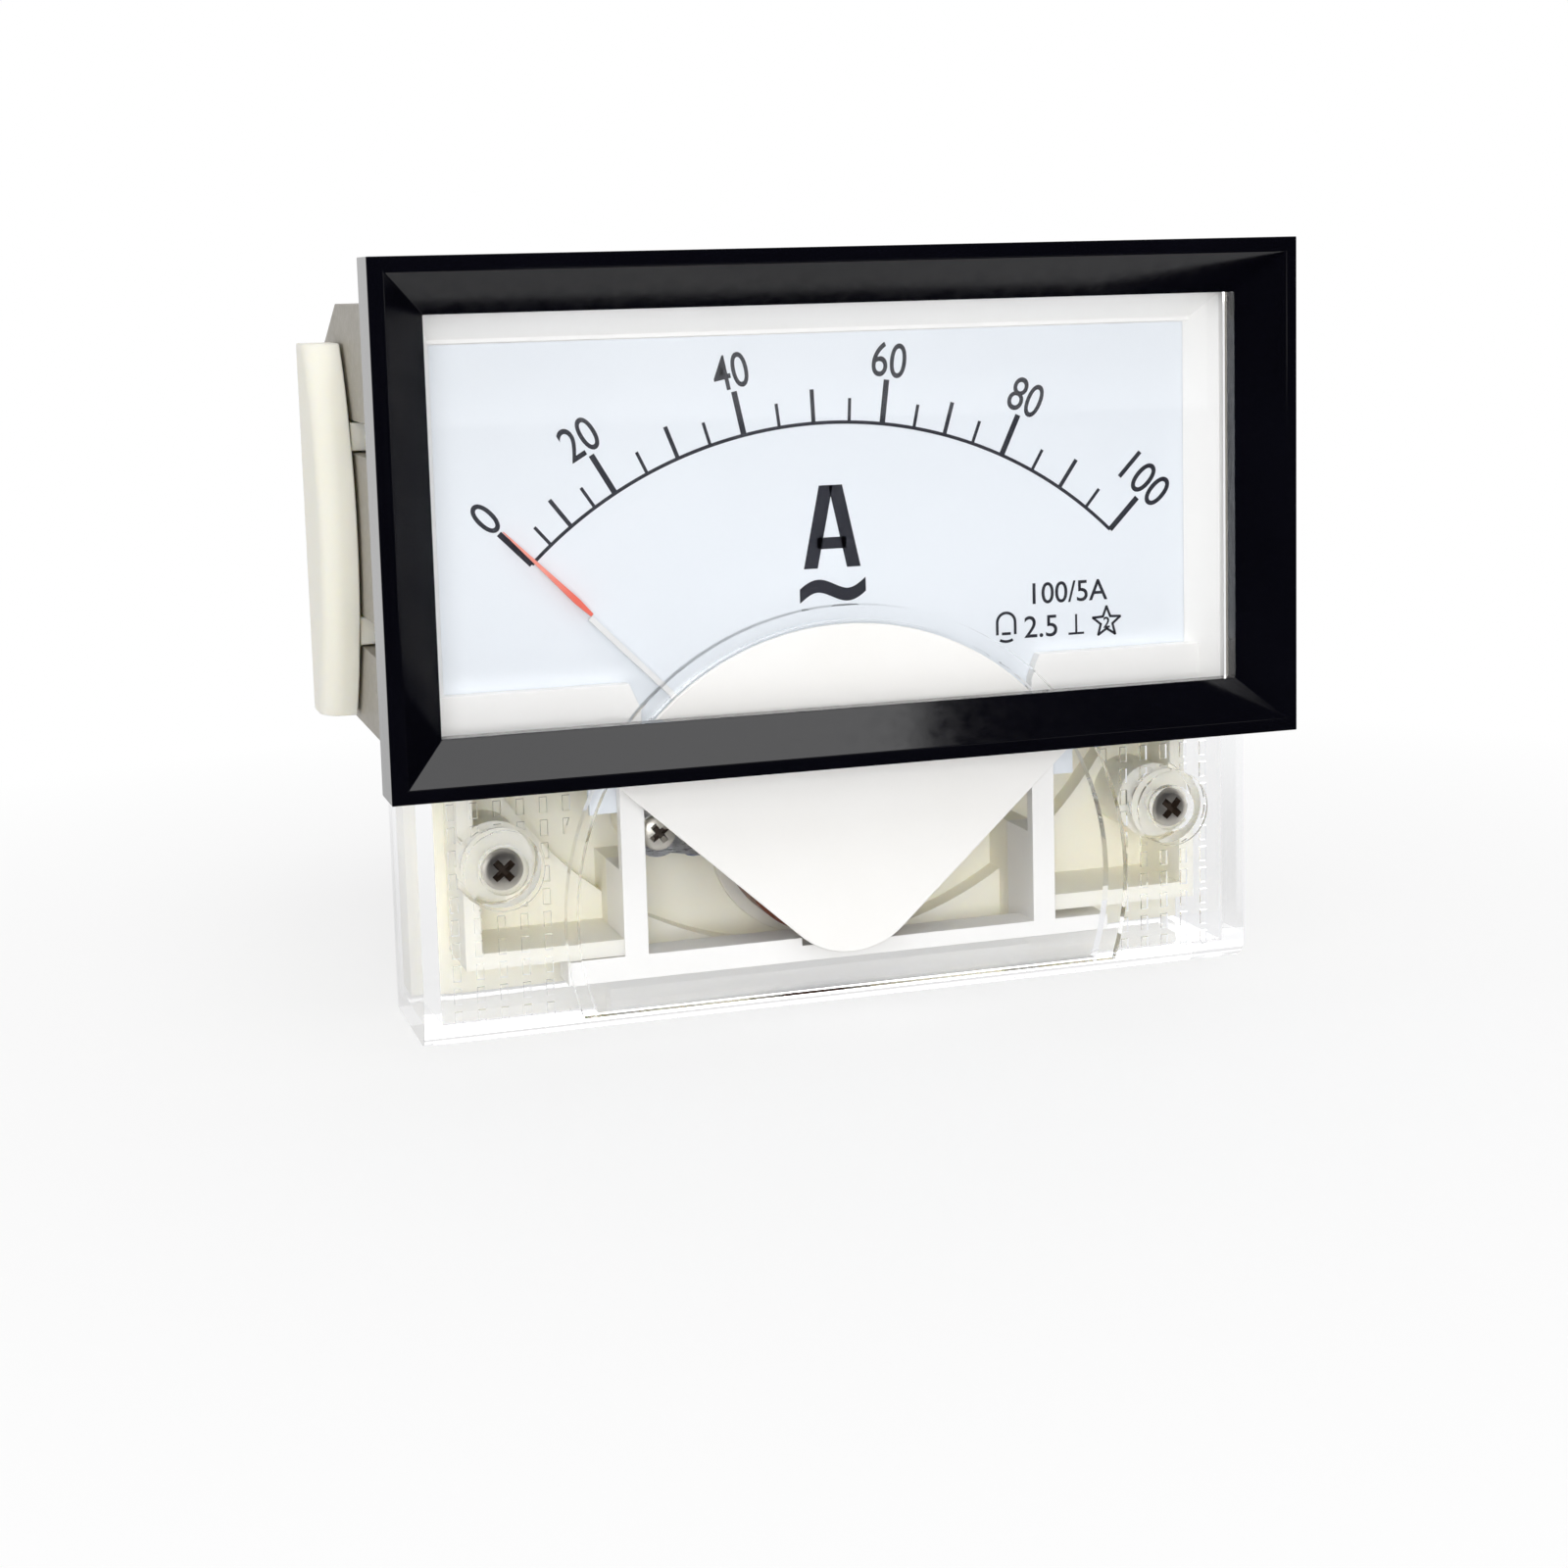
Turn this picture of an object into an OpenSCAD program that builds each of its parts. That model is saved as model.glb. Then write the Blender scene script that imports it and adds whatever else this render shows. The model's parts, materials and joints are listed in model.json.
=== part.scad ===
// Analog panel meter with a black window frame, a clear front cover and a
// moving-iron movement. Millimetres. X runs to the right, Z up, and the face
// looks along -Y. The origin is the centre of the panel cut-out, in the plane
// where the panel's front rests against the back of the cover (Y = 0).
// A "height" in front of the panel is called v: v = -Y.

/* [Face] */
// Width of the window frame, the widest part of the face
face_w = 80; // [72:1:100]
// Height of the whole face, frame and lower cover together
face_h = 65; // [60:1:80]
// Height of the frame's outer top edge above the origin
face_top = 23.5; // [22:0.5:30]
// Distance from the panel to the frame's outer front edge
face_depth = 20; // [18.5:0.5:26]

/* [Window frame] */
// Height of the window frame
frame_h = 43.2; // [40:0.2:46]
// Width of the narrow outer lip
frame_lip_w = 1.22; // [0.8:0.05:2]
// Rise of the lip from the outer edge to the ridge
frame_lip_rise = 0.5; // [0.2:0.1:1]
// Width of each bar, from the outer edge to the window opening
frame_bar_w = 4.63; // [3.8:0.01:5]
// Depth of the window edge behind the frame's outer front edge
frame_slope_depth = 3.7; // [2.5:0.1:3.9]
// Length of the skirt that laps over the cover's edge
frame_skirt = 0.8; // [0.4:0.1:2]
// Gap between the skirt and the cover
frame_skirt_gap = 0.3; // [0.2:0.05:0.5]

/* [Front cover] */
// Inset of the cover's sides and top from the frame's outer edge
cover_inset = 2.6; // [2.2:0.1:3.5]
// Wall of the cover
cover_t = 1.6; // [1.2:0.1:1.8]
// Distance from the frame's outer front edge back to the window pane
pane_back = 4.2; // [4:0.1:4.6]
// Distance from the frame's outer front edge back to the lower plate
plate_back = 5.3; // [5:0.1:5.5]
// Radius of the cover's lower front edge
cover_edge_r = 2; // [1:0.1:3]
// Outer radius of the raised disc in front of the movement
disc_r = 25.4; // [22:0.1:28]
// Width of the rim round the disc
disc_rim_w = 1.3; // [1:0.1:2.5]
// How far the disc's centre lies below the pointer's axis
disc_drop = 3.4; // [1:0.1:5]
// Depth of the rim behind the window pane
disc_rim_back = 0.8; // [0.4:0.1:1]
// Pitch of the crossed flutes beside the disc
flute_pitch = 1.95; // [1.5:0.05:2.5]
// Depth of the flutes in the back of the lower plate
flute_depth = 0.35; // [0.2:0.05:0.5]

/* [Cover screws] */
// Distance of each cover screw from the middle
screw_x = 30.3; // [28:0.1:30.6]
// Height of the cover screws
screw_z = -26.9; // [-30:0.1:-24]
// Radius of the smooth boss round a cover screw
screw_boss_r = 3.4; // [3:0.1:4]
// Radius of a cover screw's head
screw_head_r = 1.75; // [1.5:0.05:2]
// Radius of a cover screw's shank
screw_shank_r = 0.9; // [0.7:0.05:1.1]
// Length of a cover screw below its head
screw_len = 10; // [8:0.5:12]

/* [Dial] */
// Distance from the panel to the dial's front
dial_v = 10.9; // [10.6:0.1:11]
// Thickness of the dial plate
dial_t = 0.5; // [0.4:0.05:0.8]
// Distance from the window's side edge in to the visible dial
dial_margin_side = 2.57; // [1.5:0.01:3]
// Distance from the window's top edge down to the visible dial
dial_margin_top = 2.45; // [1.5:0.05:3]
// Distance from the window's bottom edge up to the visible dial
dial_margin_bottom = 2.35; // [1.5:0.05:3]
// Half width of the tongue below the dial
tongue_half_w = 22.2; // [21:0.1:24]
// Height of the tongue's lower edge
tongue_z = -23.6; // [-24:0.1:-22]

/* [Movement] */
// Height of the pointer's axis
axis_z = -28.7; // [-29.3:0.1:-28.3]
// Radius of the scale's arc
scale_r = 37.4; // [34:0.1:39]
// Radius from the axis to the pointer's tip
pointer_r = 41.2; // [38:0.1:42]
// Radius from the axis to the blade's inner end
blade_r = 30.4; // [26:0.1:33]
// Widest part of the pointer's blade
blade_w = 0.9; // [0.6:0.05:1.2]
// Width of the pointer's stem
stem_w = 0.5; // [0.4:0.05:0.7]
// Thickness of the pointer's metal
pointer_t = 0.35; // [0.25:0.05:0.4]
// Angle of the pointer at zero, from upright
zero_angle = -44.5; // [-46:0.5:-40]
// Travel past zero before the pointer meets its stop
stop_margin = 3; // [2:0.5:4]
// Sweep of the scale from zero to full
scale_sweep = 89; // [80:0.5:90]
// Radius of the rear cheek of the coil's bobbin
bobbin_r = 9.3; // [8.8:0.1:9.5]
// Outer radius of the winding
winding_r = 8.2; // [7.5:0.1:8.6]
// Radius of the bore through the coil
coil_bore_r = 5; // [4.8:0.1:5.6]
// Wall of the bobbin
bobbin_t = 0.8; // [0.6:0.05:1]
// Length of the coil along the axis
bobbin_len = 6.8; // [5:0.1:7]
// Radius of the spindle
spindle_r = 0.4; // [0.35:0.01:0.5]
// Radial clearance between the spindle and its jewels
jewel_gap = 0.05; // [0.03:0.01:0.08]
// Radius of the front jewel screw
jewel_r = 1.2; // [1:0.05:1.4]
// Radial clearance between the zero arm and the jewel screw
arm_gap = 0.05; // [0.03:0.01:0.08]
// Turns of the control spring
spring_turns = 3; // [2:0.5:4]
// Outer radius of the control spring
spring_r = 3.6; // [3:0.1:4]

/* [Apron] */
// Thickness of the white apron in front of the movement
apron_t = 0.5; // [0.3:0.05:0.5]
// Air between the apron and the pane in front of it
apron_gap = 0.1; // [0.05:0.05:0.1]
// Slope of the apron's lower edges
apron_slope = 42.5; // [35:0.5:50]
// Radius of the apron's lower tip
apron_tip_r = 6.9; // [5:0.1:9]
// Height of the apron's lower tip
apron_tip_z = -37; // [-38:0.1:-35]

/* [Base] */
// Thickness of the base's floor
floor_t = 1.6; // [1.2:0.1:2]
// Wall of the base's ribs and pockets
rib_t = 1.4; // [1:0.1:2]
// Half width over the base's raised walls
base_half_w = 33.4; // [32.8:0.1:33.8]
// Height of the base's lower pocket wall
pocket_z = -35.7; // [-36.2:0.1:-35]
// Depth of the register that lets the rear case's front edge into the base
register_depth = 0.4; // [0.3:0.1:0.6]
// Radius of the round well in the floor
well_r = 33; // [30:0.5:33]
// Height of the well's centre
well_z = -5.5; // [-8:0.5:-3]
// Height of the floor step round the well
well_step = 2.4; // [1:0.1:3]

/* [Rear case] */
// Width of the rear case, which passes through the panel
case_w = 72.8; // [66:0.2:73]
// Height of the rear case
case_h = 39.2; // [37:0.2:40]
// Depth of the rear case behind the panel
case_depth = 36.5; // [33:0.5:45]
// Wall of the rear case
case_t = 2; // [1.5:0.1:2.5]
// Length of the slope at the rear of the top and bottom
case_slope_len = 10.2; // [6:0.2:12]
// Height of that slope
case_slope_h = 4.3; // [2:0.1:5]

/* [Side clamps] */
// Distance from the panel to the clamp's bowed front at rest
clamp_front = 16; // [14:0.5:18]
// Height of a clamp
clamp_h = 35; // [30:1:37]
// Height of a clamp's middle
clamp_z = -1.5; // [-2:0.5:2]
// Length of a clamp along the case at its middle
clamp_len = 12; // [10:0.5:14]
// Radius of the clamp's bowed front
clamp_bow_r = 28; // [25:1:40]
// Thickness of a clamp outside the case
clamp_t = 3.3; // [2.6:0.1:3.4]
// Gap between a clamp and the case
clamp_gap = 0.3; // [0.2:0.05:0.4]
// Distance between a clamp's two sliding feet
clamp_foot_pitch = 18; // [14:1:22]
// Width of the slot's mouth in the case wall
slot_mouth = 3; // [2.6:0.1:4]
// Width of the slot behind its mouth
slot_w = 5.4; // [4.6:0.1:7]
// Depth of the slot's mouth, and again of the space behind it
slot_step = 1.2; // [1:0.1:1.5]
// Clearance of a foot in its slot
slot_gap = 0.2; // [0.15:0.05:0.3]

/* [Terminals] */
// Distance between the two terminal studs
terminal_pitch = 26; // [22:1:30]
// Radius of a terminal stud
terminal_r = 2; // [2:0.25:2.5]
// Length of a terminal stud behind the case
terminal_len = 12; // [10:0.5:16]
// Width across a terminal nut's flats
terminal_nut_af = 7; // [6.5:0.5:8]

/* [Hidden] */

$fn = 64;
eps = 0.01;

// Frame and cover, worked out from the face
frame_z = face_top - frame_h / 2;
frame_back_v = face_depth - pane_back;
window_half_w = face_w / 2 - frame_bar_w;
window_top = face_top - frame_bar_w;
window_bottom = face_top - frame_h + frame_bar_w;
face_bottom = face_top - face_h;
pane_v = face_depth - pane_back;
pane_in_v = pane_v - cover_t;
plate_v = face_depth - plate_back;
plate_in_v = plate_v - cover_t;
cover_w = face_w - 2 * cover_inset;
cover_top = face_top - cover_inset;
step_z = face_top - frame_h + 1;
cover_in_w = cover_w - 2 * cover_t;
cover_in_top = cover_top - cover_t;
cover_in_bottom = face_bottom + cover_t;
disc_z = axis_z - disc_drop;
disc_in_r = disc_r - disc_rim_w;
rim_back_v = pane_in_v - disc_rim_back;
boss_foot_v = dial_v - 0.9;
head_sink = 1;
fit_gap = 0.3;
register_gap = 0.1;

// Liner and dial
liner_v = pane_in_v - 0.2;
liner_back_v = dial_v + 0.05;
liner_half_w = cover_in_w / 2 - fit_gap;
liner_top = cover_in_top - fit_gap;
liner_bottom = window_bottom - 2.8;
dial_half_w = window_half_w - dial_margin_side;
dial_top = window_top - dial_margin_top;
dial_bottom = window_bottom + dial_margin_bottom;
dial_back_v = dial_v - dial_t;
leg_v = dial_v + 1.3;
leg_w = 2.1;
leg_x = 18.75;
leg_top = dial_bottom - 1.8;
leg_foot_v = 6;
leg_foot_top = axis_z + 0.2;
strip_top = pocket_z - 0.1;
strip_h = 2.1;
strip_step = 0.7;

// Movement heights along the axis
bobbin_back_v = floor_t;
bobbin_front_v = bobbin_back_v + bobbin_len;
strip_back_v = bobbin_front_v + 0.3;
bridge_t = 0.8;
bridge_v = bobbin_front_v + 0.6;
pointer_v = dial_v + 0.6;
strap_t = 0.4;
strap_v = pointer_v + 1.1;
spring_v = pointer_v + 0.65;
spring_h = 0.25;
arm_t = 0.3;
arm_v = strap_v + strap_t + 0.1;
spindle_tip_v = strap_v + 0.2;
spindle_foot_v = floor_t + 0.4;
jewel_v = strap_v - 0.1;
jewel_top_v = arm_v + arm_t + 0.1;
rear_jewel_r = 1.5;
rear_jewel_v = 0.8;
yoke_x = 6.8;
yoke_w = 3;
yoke_t = 0.6;
bridge_arm_w = 3.4;
hub_r = 1.3;
iron_t = 0.5;
full_stop = scale_sweep + stop_margin;
stop_r = 0.4;
stop_ring_r = 16;
stop_lead = asin((stop_r + stem_w / 2 + 0.05) / stop_ring_r);

// Screws: head radius, head height, shank radius, length under the head
cover_screw = [screw_head_r, 1.1, screw_shank_r, screw_len];
dial_screw = [1.4, 0.45, 0.75, 5];
bridge_screw = [1.55, 0.75, 0.8, 5];
case_screw = [2.3, 1.6, 1.15, 9];
tap_undersize = 0.1;
screw_clearance = 0.2;

// Lugs of the bridge and posts for the dial
lug_left = [-16, axis_z + 2.9];
lug_right = [11.8, axis_z + 2.9];
lug_r = 2.2;
dial_screw_x = 14.5;
dial_screw_z = tongue_z + 5.6;
post_r = 2;

// Rear case
case_screw_x = case_w / 2 - 5;
case_screw_z = case_h / 2 - 5.2;
case_boss_r = 2.6;
case_wall_side = 2 * slot_step + case_t - 0.4;
clamp_in_x = case_w / 2 + clamp_gap;
clamp_foot_len = 10;

// Terminals
terminal_head_r = 4;
flat_washer_r = 4.4;
spring_washer_r = 3.6;

// Leads: hand-chosen points from the coil to the terminals
lead_r = 0.8;
lead_hole_x = 11.2;
lead_hole_w = 3.4;
lead_hole_low = -16.2;
lead_hole_high = -10.2;
lead_left_path = [
  [-9, -4.6, -27.2], [-10.4, -5.8, -27.9], [-12, -6.8, -28.1], [-13, -7, -27.4],
  [-12.8, -6.4, -25.6], [-12.2, -5.4, -22.4], [-11.6, -4.2, -18.4], [-11.2, -2.4, -14.6],
  [-11.4, 1, -11.8], [-12.2, 8, -8.4], [-12.8, 17, -5], [-13, 25, -2.2], [-13, 31.8, 0]
];
lead_right_path = [
  [6.3, -5.2, -22.2], [7.8, -5.6, -20.8], [9.2, -5, -18.8], [10.4, -3.4, -15.8],
  [11, -1, -13], [11.6, 3, -10.8], [12.4, 11, -7.4], [13, 19, -4],
  [13, 26, -1.8], [13, 31.8, 0]
];

// ---------- shared shapes ----------

// Slab of a flat shape drawn in X and Z, from height v0 to height v1.
module slab(v0, v1) {
  rotate([90, 0, 0])
    translate([0, 0, v0])
      linear_extrude(v1 - v0)
        children();
}

// Bar of a section drawn in Y and Z, centred on X.
module bar(w) {
  rotate([90, 0, 90])
    translate([0, 0, -w / 2])
      linear_extrude(w)
        children();
}

// Round rod along Y from height v0 to height v1.
module rod(x, z, r, v0, v1) {
  rotate([90, 0, 0])
    translate([x, z, v0])
      cylinder(r = r, h = v1 - v0);
}

// Block between heights v0 and v1.
module block(x0, x1, z0, z1, v0, v1) {
  translate([x0, -v1, z0])
    cube([x1 - x0, v1 - v0, z1 - z0]);
}

// Flat rectangle between two corners.
module patch(x0, x1, z0, z1) {
  translate([x0, z0])
    square([x1 - x0, z1 - z0]);
}

// Children turned about the pointer's axis, clockwise seen from the front.
module about_axis(angle) {
  translate([0, 0, axis_z])
    rotate([0, angle, 0])
      children();
}

// One mitred bar of a rectangular frame, at the top; section is a list of
// [distance inwards from the outer edge, height v].
module mitred_bar(section, length, reach, width, v0, v1) {
  intersection() {
    bar(length)
      polygon([for (p = section) [-p[1], reach - p[0]]]);
    slab(v0, v1)
      polygon([
        [-length / 2, reach], [length / 2, reach],
        [length / 2 - width, reach - width], [-length / 2 + width, reach - width]
      ]);
  }
}

// Four mitred bars round a rectangle w by h centred on the origin.
module mitred_frame(section, w, h, width, v0, v1) {
  for (turn = [0 : 3])
    rotate([0, 90 * turn, 0])
      if (turn % 2 == 0)
        mitred_bar(section, w, h / 2, width, v0, v1);
      else
        mitred_bar(section, h, w / 2, width, v0, v1);
}

// Pan-headed cross-recess screw along Y, its head's seat at height v.
module pan_screw(x, z, v, kind) {
  head_r = kind[0];
  head_h = kind[1];
  shank_r = kind[2];
  length = kind[3];
  difference() {
    union() {
      rod(x, z, head_r, v, v + head_h);
      rod(x, z, shank_r, v - length, v + eps);
    }
    for (turn = [0, 90])
      translate([x, -(v + head_h), z])
        rotate([0, turn + 45, 0])
          translate([-head_r * 0.62, -eps, -head_r * 0.14])
            cube([head_r * 1.24, head_h * 0.6, head_r * 0.28]);
  }
}

// ---------- face ----------

// Section of the frame: lip, ridge, long inward slope, and a skirt behind.
frame_section = [
  [0, frame_back_v - frame_skirt],
  [0, face_depth],
  [frame_lip_w, face_depth + frame_lip_rise],
  [frame_bar_w, face_depth - frame_slope_depth],
  [frame_bar_w, frame_back_v],
  [cover_inset - frame_skirt_gap, frame_back_v],
  [cover_inset - frame_skirt_gap, frame_back_v - frame_skirt]
];

// The skirt is left out below, where the cover runs on under the frame.
module bezel_frame() {
  gap_x = cover_w / 2 + frame_skirt_gap;
  bottom = face_top - frame_h;
  color([0.04, 0.04, 0.06])
    difference() {
      translate([0, 0, frame_z])
        mitred_frame(frame_section, face_w, frame_h, frame_bar_w,
                     frame_back_v - frame_skirt - 1, face_depth + 1);
      block(-gap_x, gap_x, bottom - 1, bottom + cover_inset + 1,
            frame_back_v - frame_skirt - 1, frame_back_v);
    }
}

// Side view of the cover: in is the inset from its outer surface, and the open
// back lies at -back.
module cover_section(in, back) {
  bottom = face_bottom + in;
  front = plate_v - in;
  edge_r = max(cover_edge_r - in, 0.3);
  translate([-(front - edge_r), bottom])
    square([front - edge_r + back, edge_r + eps]);
  translate([-(front - edge_r), bottom + edge_r])
    circle(r = edge_r);
  translate([-front, bottom + edge_r])
    square([front + back, step_z - bottom - edge_r + eps]);
  translate([-(pane_v - in), step_z])
    square([pane_v - in + back, cover_top - in - step_z]);
}

// Disc in front of the movement, cut off at the cover's lower wall.
module disc_shape(r, low) {
  intersection() {
    translate([0, disc_z])
      circle(r = r, $fn = 128);
    patch(-face_w / 2, face_w / 2, low, disc_z + disc_r + 1);
  }
}

// Flutes run up and across the lower plate on both sides of the disc.
module flutes() {
  low = cover_in_bottom;
  high = step_z - 1.2;
  reach = cover_in_w / 2 - 0.4;
  columns = floor((2 * reach) / flute_pitch);
  rows = floor((high - low) / flute_pitch) - 1;
  half = flute_pitch * 0.16;
  inner = 11;
  slab(plate_in_v - eps, plate_in_v + flute_depth)
    difference() {
      for (i = [0 : columns]) {
        x = -base_half_w - flute_pitch + (i + 0.5) * flute_pitch;
        if (abs(x) < reach && abs(x) > inner)
          patch(x - half, x + half, low, high);
      }
      for (j = [0 : rows]) {
        z = low + (j + 0.75) * flute_pitch;
        patch(-reach, -inner, z - half, z + half);
        patch(inner, reach, z - half, z + half);
      }
      translate([0, disc_z])
        circle(r = disc_r + 0.6, $fn = 128);
      for (side = [-1, 1])
        translate([side * screw_x, screw_z])
          circle(r = screw_boss_r + 0.3);
    }
}

module front_cover() {
  color([0.9, 0.95, 1, 0.35])
    difference() {
      union() {
        difference() {
          bar(cover_w)
            cover_section(0, 0);
          bar(cover_in_w)
            cover_section(cover_t, 1);
        }
        slab(plate_in_v, pane_v)
          disc_shape(disc_r, face_bottom + cover_edge_r);
        slab(rim_back_v, pane_v)
          disc_shape(disc_r, cover_in_bottom - eps);
        for (side = [-1, 1])
          rod(side * screw_x, screw_z, screw_boss_r, boss_foot_v, plate_v + 0.3);
      }
      slab(rim_back_v - 1, pane_in_v)
        disc_shape(disc_in_r, cover_in_bottom);
      for (side = [-1, 1]) {
        rod(side * screw_x, screw_z, screw_head_r + fit_gap, plate_v - head_sink, plate_v + 1);
        rod(side * screw_x, screw_z, screw_shank_r + screw_clearance, boss_foot_v - 1, plate_v);
      }
      flutes();
    }
}

module cover_screws() {
  color([0.75, 0.74, 0.7])
    for (side = [-1, 1])
      pan_screw(side * screw_x, screw_z, plate_v - head_sink, cover_screw);
}

// The apron fills the disc down to a V with a round tip.
module apron() {
  tip_z = apron_tip_z + apron_tip_r;
  touch_x = apron_tip_r * sin(apron_slope);
  touch_z = tip_z - apron_tip_r * cos(apron_slope);
  far = disc_r;
  color([0.97, 0.97, 0.95])
    slab(pane_in_v - apron_gap - apron_t, pane_in_v - apron_gap)
      intersection() {
        translate([0, disc_z])
          circle(r = disc_in_r - fit_gap, $fn = 128);
        union() {
          translate([0, tip_z])
            circle(r = apron_tip_r);
          polygon([
            [-touch_x, touch_z], [touch_x, touch_z],
            [far, touch_z + (far - touch_x) * tan(apron_slope)],
            [far, step_z + far], [-far, step_z + far],
            [-far, touch_z + (far - touch_x) * tan(apron_slope)]
          ]);
        }
      }
}

// ---------- inner frame and dial ----------

// Section of the liner round the dial, sloping from the pane to the dial.
function liner_section(edge, inner) = [
  [0, liner_back_v], [0, liner_v],
  [edge, liner_v], [inner, liner_back_v]
];

// Liner round the dial, open at the bottom where the movement stands.
module liner() {
  h = liner_top - liner_bottom;
  edge = liner_half_w - window_half_w + 0.1;
  inner = liner_half_w - dial_half_w;
  difference() {
    translate([0, 0, liner_bottom + h / 2])
      mitred_frame(liner_section(edge, inner), 2 * liner_half_w, h, inner,
                   liner_back_v - 1, liner_v + 1);
    block(-leg_x - leg_w / 2, leg_x + leg_w / 2, liner_bottom - 1, dial_bottom + 2,
          liner_back_v - 1, liner_v + 1);
    slab(rim_back_v - fit_gap, liner_v + 1)
      disc_shape(disc_r + fit_gap, liner_bottom - 1);
  }
  block(-dial_half_w - 1, dial_half_w + 1, dial_top, liner_top, liner_back_v, liner_back_v + 0.6);
  for (side = [-1, 1])
    block(min(side * (leg_x + leg_w / 2 - eps), side * liner_half_w),
          max(side * (leg_x + leg_w / 2 - eps), side * liner_half_w),
          liner_bottom, leg_top, liner_back_v, leg_v);
}

module inner_frame() {
  color([0.96, 0.96, 0.94]) {
    liner();
    for (side = [-1, 1]) {
      block(side * leg_x - leg_w / 2, side * leg_x + leg_w / 2,
            strip_top - strip_h, leg_top, liner_back_v, leg_v);
      block(side * leg_x - leg_w / 2, side * leg_x + leg_w / 2,
            strip_top - strip_h, leg_foot_top, leg_foot_v, liner_back_v + eps);
    }
    block(-leg_x - 6, leg_x + 6, strip_top - strip_h, strip_top - strip_step,
          strip_back_v, leg_v);
    block(-leg_x - 6, -4, strip_top - strip_h, strip_top, strip_back_v, leg_v);
  }
}

module dial_plate() {
  color([0.84, 0.89, 0.93])
    difference() {
      slab(dial_back_v, dial_v) {
        patch(-liner_half_w + 0.6, liner_half_w - 0.6, liner_bottom + 0.8, liner_top - 0.6);
        patch(-tongue_half_w, tongue_half_w, tongue_z, liner_bottom + 1);
      }
      for (side = [-1, 1])
        rod(side * dial_screw_x, dial_screw_z, dial_screw[2] + screw_clearance,
            dial_back_v - 1, dial_v + 1);
    }
}

module dial_screws() {
  color([0.75, 0.74, 0.7])
    for (side = [-1, 1])
      pan_screw(side * dial_screw_x, dial_screw_z, dial_v, dial_screw);
}

// Two stop pins on the dial, just past each end of the pointer's sweep.
module pointer_stops() {
  color([0.2, 0.2, 0.22])
    for (a = [zero_angle - stop_margin - stop_lead, zero_angle + full_stop + stop_lead])
      about_axis(a)
        rotate([90, 0, 0])
          translate([0, stop_ring_r, dial_v])
            cylinder(r = stop_r, h = pointer_v + pointer_t - dial_v);
}

// ---------- base ----------

module base_walls() {
  top = liner_top - 0.3;
  half = base_half_w;
  wall_v = dial_back_v;
  low_v = plate_in_v - 0.9;
  for (side = [-1, 1]) {
    block(min(side * half, side * (half - rib_t)), max(side * half, side * (half - rib_t)),
          pocket_z, top, floor_t - eps, wall_v);
    block(min(side * half, side * (half - rib_t)), max(side * half, side * (half - rib_t)),
          pocket_z, tongue_z - 1, wall_v - eps, low_v);
    block(side * leg_x - leg_w / 2, side * leg_x + leg_w / 2,
          cover_in_bottom + fit_gap, leg_foot_top, floor_t - eps, leg_foot_v);
    rod(side * screw_x, screw_z, screw_boss_r - 0.2, floor_t - eps, boss_foot_v);
    rod(side * dial_screw_x, dial_screw_z, post_r, floor_t - eps, dial_back_v);
  }
  block(-half, half, top - rib_t, top, floor_t - eps, wall_v);
  block(-half, -leg_x - leg_w / 2, pocket_z, pocket_z + rib_t, floor_t - eps, low_v);
  block(leg_x + leg_w / 2, half, pocket_z, pocket_z + rib_t, floor_t - eps, low_v);
  block(-leg_x, leg_x, cover_in_bottom + fit_gap, cover_in_bottom + fit_gap + 1.2,
        floor_t - eps, leg_foot_v);
  for (lug = [lug_left, lug_right])
    rod(lug[0], lug[1], lug_r, floor_t - eps, bridge_v);
}

module base() {
  half = cover_in_w / 2 - fit_gap;
  color([0.95, 0.93, 0.82])
    difference() {
      union() {
        block(-half, half, cover_in_bottom + fit_gap, cover_in_top - fit_gap, 0, floor_t);
        slab(floor_t - eps, floor_t + well_step)
          difference() {
            patch(-half, half, cover_in_bottom + fit_gap, cover_in_top - fit_gap);
            translate([0, well_z])
              circle(r = well_r, $fn = 128);
          }
        base_walls();
      }
      rod(0, axis_z, rear_jewel_r + arm_gap, rear_jewel_v, floor_t + 1);
      block(-half - 1, half + 1, -case_h / 2 - register_gap, case_h / 2 + 1,
            -1, register_depth);
      for (side = [-1, 1]) {
        block(side * lead_hole_x - lead_hole_w / 2, side * lead_hole_x + lead_hole_w / 2,
              lead_hole_low, lead_hole_high, -1, floor_t + 1);
        rod(side * screw_x, screw_z, screw_shank_r - tap_undersize, 1.2, boss_foot_v + 1);
        rod(side * screw_x, screw_z, screw_boss_r + fit_gap, boss_foot_v, plate_v);
        rod(side * dial_screw_x, dial_screw_z, dial_screw[2] - tap_undersize, 4, dial_back_v + 1);
        for (level = [-1, 1]) {
          rod(side * case_screw_x, level * case_screw_z, case_screw[2] + screw_clearance + 0.05,
              -1, floor_t + well_step + 1);
          rod(side * case_screw_x, level * case_screw_z, case_screw[0] + fit_gap,
              floor_t, dial_back_v + 1);
        }
      }
      for (lug = [lug_left, lug_right])
        rod(lug[0], lug[1], bridge_screw[2] - tap_undersize, 3, bridge_v + 1);
    }
}

module case_screws() {
  color([0.75, 0.74, 0.7])
    for (side = [-1, 1], level = [-1, 1])
      pan_screw(side * case_screw_x, level * case_screw_z, floor_t, case_screw);
}

// ---------- movement ----------

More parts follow.
